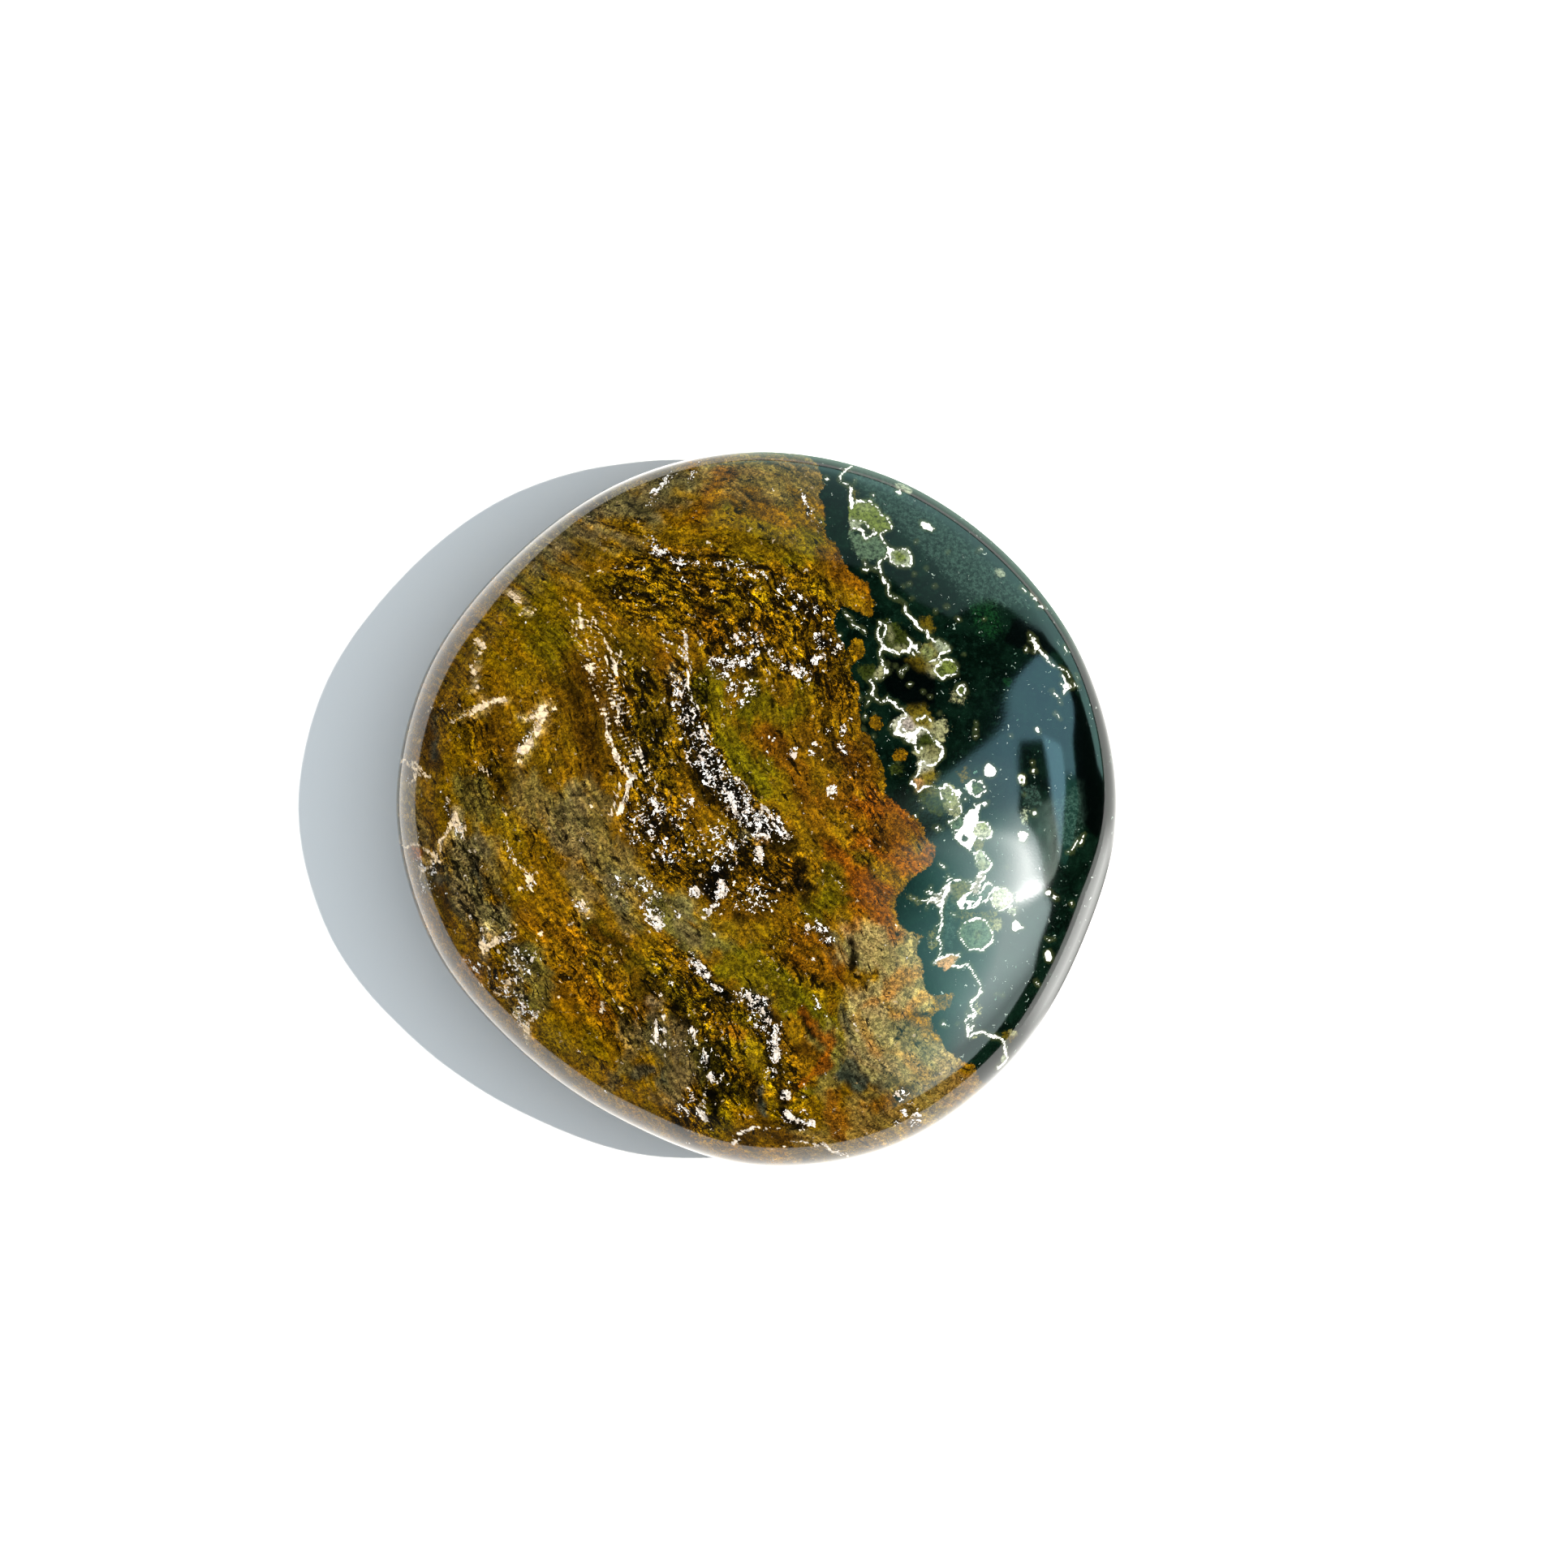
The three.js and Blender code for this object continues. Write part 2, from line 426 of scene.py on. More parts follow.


# ---------------------------------------------------------------------------------------------
# Colour of the brown rock: silica stained by iron in bands and clouds. Each brush stroke is a
# colour, half its width in squares, how soft its edge is, how strong it is, and its course. Most
# are stains. The pale tan and grey strokes that run along the rim are painted reflection: the haze
# that the polished rim mirrors.
# ---------------------------------------------------------------------------------------------
stain_and_rim_haze_colours = {
    "ochre": "#876206", "gold": "#917005", "olive": "#706406", "deep_olive": "#4e4507",
    "rust": "#7f5007", "orange": "#935306", "umber": "#523603", "black": "#0c0803",
    "tan": "#867048", "grey": "#786c5a", "slate": "#3d4248", "cream": "#d8b47c",
    "pink": "#d6bca4", "bright": "#ae8c08", "clay": "#b5834c", "moss": "#7c7144",
    "buff": "#a69479", "honey": "#966806",
}
brown_strokes = [
    # broad clouds
    # The first two strokes run along the top rim. They are painted reflection: the grey haze that the
    # polished rim mirrors there.
    ("tan", 34, 40, 0.9, [(640, 690), (720, 640), (820, 590), (930, 572), (1000, 580)]),
    ("grey", 24, 30, 0.8, [(660, 670), (760, 615), (830, 590)]),
    ("rust", 10, 12, 0.8, [(850, 655), (868, 625), (890, 585)]),
    ("olive", 26, 30, 0.8, [(900, 660), (990, 670)]),
    ("gold", 30, 30, 0.8, [(600, 760), (620, 830), (690, 800)]),
    ("ochre", 30, 30, 0.7, [(590, 780), (600, 840)]),
    ("olive", 28, 26, 0.6, [(660, 740), (690, 790)]),
    ("umber", 20, 22, 0.85, [(705, 830), (722, 900), (738, 960)]),
    ("umber", 14, 20, 0.6, [(600, 900), (625, 950), (610, 985)]),
    ("deep_olive", 20, 24, 0.5, [(765, 800), (785, 830), (805, 900), (810, 950)]),
    ("rust", 12, 14, 0.8, [(822, 805), (835, 820)]),
    ("gold", 24, 24, 0.6, [(740, 725), (830, 740)]),
    ("gold", 20, 18, 0.5, [(860, 660), (950, 665)]),
    ("gold", 20, 26, 0.8, [(905, 725), (935, 745)]),
    ("rust", 18, 20, 0.6, [(870, 775), (930, 790)]),
    ("olive", 20, 16, 0.9, [(868, 840), (885, 890), (915, 930), (950, 965)]),
    ("olive", 18, 20, 0.8, [(930, 870), (975, 880), (1000, 850)]),
    ("gold", 14, 16, 0.8, [(965, 965), (968, 1000)]),
    ("rust", 11, 12, 0.9, [(945, 905), (962, 930), (985, 950), (990, 975)]),
    ("ochre", 24, 20, 0.6, [(1010, 860), (1040, 850), (1045, 880)]),
    ("rust", 18, 16, 0.7, [(1035, 690), (1062, 728)]),
    ("gold", 12, 12, 0.7, [(1000, 720), (1060, 745)]),
    ("rust", 22, 18, 0.8, [(1050, 930), (1060, 960), (1010, 995)]),
    ("orange", 22, 16, 0.95, [(1070, 1000), (1105, 1010)]),
    ("orange", 15, 12, 1.0, [(1060, 1035), (1090, 1050), (1115, 1065), (1135, 1062)]),
    ("orange", 14, 14, 0.9, [(1025, 1045), (1045, 1070), (1050, 1095), (1048, 1108)]),
    ("rust", 20, 16, 0.8, [(1110, 1030), (1080, 1030)]),
    ("ochre", 16, 14, 0.7, [(1010, 1010), (1050, 1020)]),
    ("deep_olive", 13, 12, 0.75, [(1068, 1058), (1085, 1080)]),
    ("olive", 16, 16, 0.8, [(1000, 1120), (1030, 1105), (1020, 1080)]),
    ("umber", 24, 22, 0.85, [(930, 1070), (980, 1080)]),
    ("umber", 16, 20, 0.6, [(940, 1130), (900, 1120)]),
    ("tan", 34, 30, 0.95, [(660, 990), (720, 1010), (745, 1060)]),
    ("grey", 20, 24, 0.6, [(700, 1000), (715, 1080)]),
    ("gold", 18, 16, 0.9, [(625, 1010), (632, 1060), (640, 1110)]),
    ("tan", 16, 14, 0.8, [(600, 1040), (610, 1085)]),
    ("grey", 26, 20, 0.9, [(575, 1050), (580, 1120), (610, 1130)]),
    ("umber", 12, 12, 0.8, [(583, 1070), (592, 1095)]),
    ("honey", 36, 26, 0.9, [(670, 1130), (700, 1200), (740, 1240)]),
    ("honey", 16, 16, 0.7, [(650, 1060), (665, 1100)]),
    ("rust", 16, 14, 0.8, [(735, 1235), (770, 1262), (800, 1225)]),
    ("gold", 18, 20, 0.7, [(690, 1270), (735, 1290)]),
    ("tan", 26, 24, 0.9, [(760, 1060), (770, 1120)]),
    ("tan", 12, 10, 0.8, [(715, 1080), (722, 1130)]),
    ("grey", 12, 12, 0.9, [(755, 1090), (765, 1120)]),
    ("moss", 22, 18, 0.95, [(815, 1125), (850, 1150), (890, 1165)]),
    ("grey", 12, 12, 0.7, [(840, 1120), (850, 1150)]),
    ("olive", 24, 18, 0.9, [(900, 1190), (950, 1200), (985, 1225)]),
    ("gold", 12, 10, 0.8, [(900, 1150), (945, 1150)]),
    ("rust", 26, 16, 0.9, [(985, 1165), (1020, 1195)]),
    ("deep_olive", 14, 12, 0.8, [(735, 1145), (765, 1178), (800, 1190)]),
    ("gold", 8, 7, 0.95, [(800, 1165), (818, 1190), (835, 1215), (870, 1220)]),
    ("deep_olive", 13, 12, 0.7, [(800, 1215), (825, 1225), (850, 1250)]),
    ("bright", 12, 8, 0.9, [(865, 1238), (845, 1245)]),
    ("grey", 24, 22, 0.8, [(815, 1270), (850, 1310), (830, 1340)]),
    ("deep_olive", 26, 20, 0.8, [(870, 1300), (900, 1340), (880, 1375)]),
    ("bright", 12, 8, 0.9, [(905, 1290), (930, 1295), (935, 1320)]),
    ("bright", 8, 8, 0.55, [(948, 1330), (955, 1345)]),
    ("bright", 14, 10, 0.5, [(885, 1375), (915, 1360)]),
    ("gold", 8, 8, 0.8, [(955, 1360), (965, 1375)]),
    ("rust", 12, 10, 0.9, [(915, 1250), (910, 1262)]),
    ("olive", 14, 12, 0.9, [(985, 1235), (1015, 1262), (1030, 1290), (1022, 1330), (1000, 1350)]),
    ("rust", 5, 4, 0.9, [(985, 1240), (1008, 1262), (1018, 1285), (1014, 1310)]),
    ("umber", 14, 10, 0.9, [(985, 1290), (1005, 1295)]),
    ("gold", 26, 18, 0.9, [(1020, 1360), (1040, 1385), (1010, 1390)]),
    ("umber", 14, 12, 0.8, [(920, 1400), (980, 1398)]),
    ("buff", 30, 18, 0.9, [(1060, 1165), (1110, 1170), (1120, 1220)]),
    ("buff", 36, 18, 0.95, [(1068, 1250), (1085, 1300), (1150, 1320)]),
    ("clay", 7, 7, 0.7, [(1060, 1250), (1080, 1290), (1110, 1300), (1140, 1330)]),
    ("grey", 20, 14, 0.8, [(1110, 1270), (1140, 1285)]),
    ("clay", 8, 6, 0.9, [(1095, 1222), (1108, 1210), (1134, 1198)]),
    ("clay", 5, 5, 0.9, [(1065, 1238), (1095, 1228), (1105, 1215)]),
    ("clay", 5, 4, 0.8, [(1100, 1250), (1112, 1248), (1125, 1238), (1146, 1224)]),
    ("orange", 9, 8, 0.9, [(1075, 1125), (1095, 1138), (1112, 1155)]),
    ("orange", 8, 8, 0.7, [(1060, 1120), (1050, 1140)]),
    ("orange", 14, 10, 0.8, [(1165, 1345), (1190, 1330)]),
    ("orange", 15, 10, 0.9, [(1062, 1082), (1088, 1098), (1084, 1116)]),
    ("moss", 12, 8, 0.8, [(1010, 1272), (1032, 1300), (1012, 1345), (1030, 1376)]),
    ("tan", 18, 12, 0.8, [(1060, 1362), (1112, 1346)]),
    ("gold", 12, 10, 0.7, [(1000, 1212), (1030, 1232)]),
    ("umber", 20, 20, 0.6, [(1005, 775), (1015, 870)]),
    ("umber", 14, 12, 0.45, [(1075, 925), (1084, 952)]),
    ("umber", 20, 18, 0.6, [(1000, 905), (1045, 935)]),
    ("rust", 18, 12, 0.8, [(1080, 1370), (1120, 1360)]),
    # The next two strokes run along the bottom rim and the left rim. They are painted reflection: the
    # pale band that the polished rim mirrors there.
    ("tan", 30, 16, 0.7, [(1000, 1425), (1100, 1395), (1190, 1345)]),
    ("tan", 16, 16, 0.8, [(500, 900), (505, 1000), (520, 1080)]),
    ("umber", 12, 10, 0.9, [(530, 880), (535, 940)]),
    ("moss", 18, 16, 0.7, [(580, 970), (600, 1000)]),
    ("grey", 14, 12, 0.8, [(640, 1180), (640, 1225)]),
    ("moss", 14, 14, 0.8, [(655, 1180), (665, 1230)]),
    # veils and spots
    ("black", 5, 4, 0.9, [(957, 715), (960, 720)]),
    ("black", 8, 5, 0.95, [(925, 830), (935, 827)]),
    ("black", 3, 3, 0.9, [(956, 848), (953, 862)]),
    ("black", 5, 4, 0.9, [(800, 837), (806, 844)]),
    ("black", 4, 4, 0.8, [(786, 870), (790, 885), (778, 895)]),
    ("black", 9, 7, 0.9, [(985, 1085), (998, 1092)]),
    ("black", 9, 6, 0.9, [(872, 1080), (888, 1075), (878, 1100)]),
    ("black", 5, 4, 0.9, [(1046, 1162), (1052, 1180), (1050, 1200)]),
    ("black", 2, 2, 0.8, [(1072, 1078), (1084, 1086), (1086, 1100)]),
    ("umber", 7, 6, 0.9, [(735, 1145), (750, 1165), (765, 1182)]),
    ("umber", 6, 6, 0.95, [(540, 1090), (547, 1115), (560, 1140)]),
    ("black", 7, 5, 0.85, [(878, 1212), (893, 1225)]),
    ("slate", 12, 6, 0.9, [(928, 1232), (945, 1250)]),
    ("black", 4, 3, 0.9, [(984, 1246), (997, 1262), (1007, 1274)]),
    ("black", 3, 3, 0.9, [(930, 1350), (938, 1365), (942, 1378)]),
    ("black", 7, 6, 0.8, [(832, 1248), (845, 1262)]),
    ("black", 5, 4, 0.8, [(878, 1350), (880, 1385)]),
    ("slate", 7, 5, 0.8, [(780, 1322), (795, 1318)]),
    ("slate", 4, 4, 0.8, [(812, 1322), (815, 1332)]),
    ("slate", 9, 6, 0.9, [(1040, 1310), (1046, 1330), (1060, 1338)]),
    ("slate", 6, 5, 0.7, [(1080, 1338), (1090, 1330)]),
    ("slate", 2.5, 2, 0.8, [(1030, 1240), (1045, 1265), (1052, 1290), (1075, 1308), (1095, 1325)]),
    ("black", 6, 5, 0.8, [(600, 950), (612, 960)]),
    ("gold", 7, 5, 0.9, [(722, 1180), (738, 1205), (755, 1235), (772, 1252)]),
    ("tan", 8, 6, 0.9, [(765, 1260), (775, 1290), (770, 1310), (752, 1335)]),
    ("black", 10, 6, 0.9, [(858, 1190), (876, 1212), (892, 1228)]),
    ("gold", 6, 5, 0.9, [(865, 1238), (860, 1246)]),
    ("bright", 7, 5, 0.9, [(860, 1266), (882, 1268)]),
    ("bright", 8, 5, 0.9, [(907, 1248), (922, 1258)]),
    ("black", 9, 6, 0.9, [(920, 1226), (948, 1256)]),
    ("black", 7, 5, 0.9, [(945, 1275), (946, 1300), (955, 1322)]),
    ("black", 5, 4, 0.9, [(962, 1340), (968, 1365), (985, 1390)]),
    ("slate", 5, 4, 0.9, [(930, 1345), (938, 1360), (944, 1374)]),
    ("orange", 5, 4, 0.9,
     [(985, 1240), (1010, 1262), (1018, 1285), (1016, 1308), (1000, 1325), (986, 1344)]),
    ("black", 4, 3, 0.9, [(988, 1250), (1000, 1262), (1008, 1272)]),
    ("slate", 7, 5, 0.9, [(1036, 1322), (1050, 1330), (1060, 1336)]),
    ("rust", 14, 10, 0.9, [(1022, 1355), (1030, 1375), (1034, 1392)]),
    ("black", 18, 12, 0.85, [(862, 940), (900, 985), (950, 1030), (968, 1040)]),
    ("umber", 7, 5, 0.9, [(895, 995), (905, 1000)]),
    ("black", 8, 6, 0.85, [(880, 1078), (876, 1104)]),
    ("black", 9, 7, 0.8, [(803, 1002), (808, 1026)]),
    ("black", 12, 9, 0.85, [(985, 1072), (996, 1096)]),
    ("black", 5, 4, 0.85, [(913, 1130), (914, 1138)]),
    ("black", 4, 3, 0.8, [(1050, 1160), (1052, 1180), (1048, 1200)]),
    ("black", 15, 12, 0.72, [(868, 1285), (890, 1330), (880, 1368)]),
    ("black", 10, 9, 0.6, [(835, 1235), (850, 1262)]),
    ("black", 11, 8, 0.75, [(846, 846), (862, 890), (884, 930)]),
    ("black", 6, 5, 0.7, [(775, 915), (792, 950), (800, 975)]),
    ("black", 7, 6, 0.6, [(745, 800), (762, 850), (772, 900)]),
    ("black", 3, 3, 0.7, [(958, 1162), (978, 1185), (1003, 1205), (1020, 1222)]),
    ("black", 3, 3, 0.6, [(1015, 1068), (1032, 1084), (1042, 1100)]),
    ("black", 1.2, 1, 0.9, [(700, 985), (715, 981), (728, 974), (735, 966)]),
    ("slate", 4, 3, 0.8, [(538, 888), (542, 910), (537, 935)]),
    ("slate", 9, 6, 0.7, [(536, 1070), (543, 1085)]),
    ("slate", 4, 4, 0.7, [(583, 1060), (590, 1092)]),
    ("cream", 6, 5, 0.9, [(668, 872), (668, 886), (662, 902), (654, 918), (642, 933)]),
    ("cream", 4, 4, 0.8, [(668, 880), (648, 886), (640, 884)]),
    ("cream", 5, 6, 0.6, [(567, 883), (588, 872), (604, 864), (625, 862)]),
    ("pink", 4, 4, 0.8, [(627, 730), (640, 742), (650, 756)]),
    ("pink", 3, 4, 0.6, [(592, 790), (588, 812), (586, 832), (590, 852)]),
    ("orange", 8, 3, 0.95, [(511, 1050), (516, 1054)]),
    ("cream", 5, 4, 0.9, [(527, 1058), (540, 1055), (543, 1040), (548, 1032)]),
    ("pink", 6, 5, 0.8, [(565, 1005), (568, 1022), (560, 1030)]),
    ("pink", 7, 5, 0.7, [(594, 1142), (598, 1158), (600, 1175)]),
    ("clay", 9, 6, 0.8, [(572, 1186), (588, 1198)]),
    ("pink", 4, 4, 0.7, [(640, 1245), (648, 1262), (650, 1280)]),
    ("clay", 4, 2, 0.9, [(934, 1033), (944, 1033)]),
    ("pink", 4, 3, 0.8, [(912, 1022), (920, 1030)]),
    ("pink", 5, 4, 0.8, [(833, 828), (835, 836)]),
    ("pink", 4, 4, 0.7, [(804, 1232), (812, 1236)]),
    ("cream", 7, 6, 0.7, [(717, 1112), (721, 1124)]),
]
rock_and_rim_haze_colour = np.tile(linear(stain_and_rim_haze_colours["ochre"]), (len(chart), 1))
for tint, half_width, softness, strength, course in brown_strokes:
    gap = gap_to(course, frayed_chart, half_width + softness * 2)
    cover = strength * step_up(half_width + softness * rag - gap, -2 - softness / 3, 2 + softness / 3)
    rock_and_rim_haze_colour += cover[:, None] * (linear(stain_and_rim_haze_colours[tint]) - rock_and_rim_haze_colour)
keep("rock_and_rim_haze_colour", "FLOAT_COLOR", "color", np.column_stack([rock_and_rim_haze_colour, np.ones(len(chart))]))


# ---------------------------------------------------------------------------------------------
# Grit and crumbs. Where the brown rock was broken and healed again it is gritty, black between
# gold grains, and white quartz crumbs fill the cracks. Each stroke: strength, half width, course.
# ---------------------------------------------------------------------------------------------
grit_strokes = [
    (1.0, 60, [(800, 720), (900, 740), (990, 760)]),
    (0.9, 40, [(900, 790), (1010, 800), (1030, 850)]),
    (0.9, 40, [(780, 850), (800, 950), (810, 1020)]),
    (1.0, 30, [(840, 850), (870, 940), (930, 1010), (910, 1080)]),
    (1.0, 34, [(800, 1000), (830, 1060), (900, 1080), (960, 1080)]),
    (0.6, 26, [(560, 880), (600, 930), (590, 980)]),
    (0.7, 30, [(560, 1060), (590, 1110), (620, 1180), (640, 1220)]),
    (0.55, 40, [(700, 1160), (740, 1210), (780, 1270)]),
    (0.9, 40, [(830, 1200), (880, 1260), (900, 1340), (860, 1370)]),
    (0.8, 24, [(930, 1240), (960, 1310), (975, 1370)]),
    (0.3, 30, [(1060, 1180), (1110, 1260), (1140, 1310)]),
    (0.5, 36, [(1030, 900), (1060, 960), (1070, 1040)]),
    (0.5, 24, [(980, 1150), (960, 1180), (1010, 1210)]),
    (0.5, 24, [(700, 620), (780, 640)]),
    (0.45, 30, [(640, 1010), (720, 1040), (760, 1100)]),
]
# The rock is calm and even where it healed without breaking.
calm_strokes = [
    (0.75, 30, [(1062, 1172), (1108, 1190), (1082, 1250), (1112, 1300), (1160, 1332)]),
    (0.4, 20, [(1068, 1002), (1108, 1025), (1120, 1058)]),
    (0.6, 15, [(815, 1125), (890, 1165), (960, 1200)]),
    (0.4, 16, [(992, 1240), (1022, 1290), (1012, 1345)]),
    (0.45, 24, [(650, 1000), (700, 1050), (752, 1115)]),
    (0.4, 20, [(935, 920), (965, 975)]),
    (0.35, 30, [(620, 790), (650, 830)]),
]


def brushed(strokes, base, where, raggedness, full, faded, farthest):
    """The highest of a base level and the strokes. A stroke is full up to full half widths from its
    course and gone at faded half widths, where the stains' ragged edge moves that rim by raggedness
    squares. farthest is how far out it is worked out: half widths, and squares on top."""
    level = np.full(len(chart), base)
    for strength, half_width, course in strokes:
        gap = gap_to(course, where, half_width * farthest[0] + farthest[1]) + raggedness * rag
        level = np.maximum(level, strength * (1 - step_up(gap, half_width * full, half_width * faded)))
    return level


grit = brushed(grit_strokes, 0.22, frayed_chart, 8, 0.4, 1.5, (1.6, 0))
calm = brushed(calm_strokes, 0.0, frayed_chart, 8, 0.4, 1.5, (1.6, 0))
keep("grit", "FLOAT", "value", grit)
keep("calm", "FLOAT", "value", calm)

crumb_strokes = [
    (0.85, 8, [(880, 818), (900, 818), (912, 812)]), (0.85, 7, [(925, 815), (930, 800)]),
    (0.8, 5, [(880, 831), (890, 833)]), (0.45, 9, [(905, 785), (935, 788)]), (0.8, 9, [(902, 848)]),
    (0.75, 6, [(912, 867)]), (0.4, 11, [(925, 850)]), (0.35, 10, [(896, 872)]),
    (0.6, 7, [(952, 802), (962, 815), (975, 822), (990, 828)]), (0.9, 4, [(997, 826), (996, 840)]),
    (0.9, 4, [(1010, 784), (1013, 796)]), (1.0, 6, [(1021, 793)]), (0.9, 3, [(1030, 800), (1036, 796)]),
    (0.8, 6, [(1003, 812)]), (0.9, 4, [(1013, 810)]), (0.85, 6, [(1010, 750)]), (0.6, 5, [(978, 752)]),
    (0.5, 6, [(802, 664), (816, 680), (842, 692), (864, 696)]),
    (0.45, 5, [(877, 697), (915, 694), (943, 710)]), (0.6, 5, [(962, 723), (982, 733), (1005, 741)]),
    (0.5, 5, [(800, 617), (825, 586)]), (0.5, 3, [(851, 589), (861, 570)]),
    (0.6, 3, [(990, 605), (993, 625)]), (0.4, 5, [(997, 635), (1008, 650)]), (0.85, 7, [(1025, 975)]),
    (0.95, 4.5, [(1052, 951)]), (0.8, 4, [(1021, 900)]), (0.7, 3.5, [(1036, 902), (1048, 890)]),
    (0.9, 3, [(1036, 918), (1042, 928)]), (0.6, 4, [(975, 930), (985, 917)]), (0.25, 10, [(1005, 925)]),
    (0.7, 12, [(835, 842), (842, 865), (850, 890)]), (0.7, 16, [(855, 900), (870, 930), (885, 955)]),
    (0.75, 15, [(900, 975), (920, 1000), (942, 1022)]), (0.7, 9, [(955, 1010), (965, 1030)]),
    (0.45, 14, [(790, 1000), (780, 1030)]), (0.5, 12, [(810, 990), (800, 1030)]),
    (0.5, 11, [(835, 1010), (850, 990)]), (0.3, 20, [(820, 1050)]),
    (0.4, 16, [(885, 1030), (905, 1040), (895, 1060)]), (1.0, 6, [(936, 1048), (936, 1058)]),
    (0.95, 6, [(888, 1088), (890, 1095), (886, 1104)]), (0.85, 4, [(872, 1125), (882, 1116)]),
    (0.7, 6, [(855, 1100), (868, 1095)]), (0.7, 5, [(880, 1072)]),
    (0.3, 14, [(940, 1100), (920, 1110)]), (0.6, 4, [(930, 1120)]), (0.8, 5, [(835, 1128)]),
    (0.85, 7, [(808, 1140)]), (0.5, 12, [(800, 1110), (805, 1130)]), (0.4, 12, [(790, 1090)]),
    (0.35, 8, [(765, 1085), (760, 1100)]), (0.85, 7, [(850, 1180), (858, 1190)]),
    (0.95, 6, [(864, 1196), (874, 1205)]), (0.7, 4, [(885, 1218)]), (0.8, 4, [(877, 1216)]),
    (0.6, 10, [(910, 1225), (930, 1235), (945, 1250)]), (0.5, 7, [(925, 1255), (938, 1270)]),
    (0.95, 7, [(955, 1268), (953, 1285)]), (1.0, 8, [(956, 1298)]), (0.5, 7, [(950, 1320)]),
    (0.95, 6, [(968, 1348)]), (0.95, 6, [(973, 1375)]), (0.8, 3, [(985, 1381), (998, 1383)]),
    (0.8, 3, [(988, 1370)]), (0.85, 6, [(865, 1375)]), (0.3, 11, [(845, 1370), (850, 1355)]),
    (0.6, 7, [(868, 1298), (866, 1310)]), (0.4, 6, [(852, 1272), (856, 1285)]),
    (0.2, 14, [(838, 1290)]), (0.45, 6, [(808, 1262), (808, 1285)]), (0.5, 8, [(880, 1330)]),
    (0.9, 8, [(1008, 1140), (1018, 1155)]), (0.6, 6, [(995, 1145)]), (0.6, 4, [(995, 1125)]),
    (0.9, 3, [(1003, 1228), (1008, 1238)]), (0.8, 7, [(644, 1240), (646, 1262)]),
    (0.7, 4, [(640, 1255), (660, 1250)]), (0.45, 9, [(620, 1210), (630, 1225)]),
    (0.6, 7, [(600, 1165), (608, 1160)]), (0.7, 4, [(595, 1145), (597, 1155)]),
    (0.6, 5, [(615, 1157), (633, 1152)]), (0.85, 5, [(651, 1080), (653, 1095)]),
    (0.8, 2.5, [(623, 1038), (630, 1055), (640, 1068)]), (0.5, 8, [(718, 1115)]),
    (0.5, 6, [(640, 1175), (650, 1195)]), (0.6, 4, [(505, 940), (520, 955)]),
    (0.75, 6, [(560, 1010), (567, 1025)]), (0.6, 3, [(545, 975), (553, 1000)]),
    (0.5, 8, [(520, 1065), (535, 1070)]), (0.4, 10, [(520, 1090)]),
    (0.5, 6, [(575, 1185), (595, 1195)]), (0.75, 8, [(1110, 1350)]), (0.65, 9, [(1120, 1370)]),
    (0.7, 6, [(1128, 1382)]), (0.6, 4, [(1107, 1385)]), (0.5, 5, [(658, 882), (650, 915), (640, 930)]),
    (0.4, 12, [(1152, 900)]), (0.3, 16, [(650, 1190), (625, 1200)]),
    (0.35, 12, [(930, 1100), (945, 1110)]), (0.3, 20, [(860, 1040)]),
]
crumbs = brushed(crumb_strokes, 0.0, chart + 0.35 * fray, -2.5, 0.5, 1.4, (1, 8))
keep("crumbs", "FLOAT", "value", crumbs)


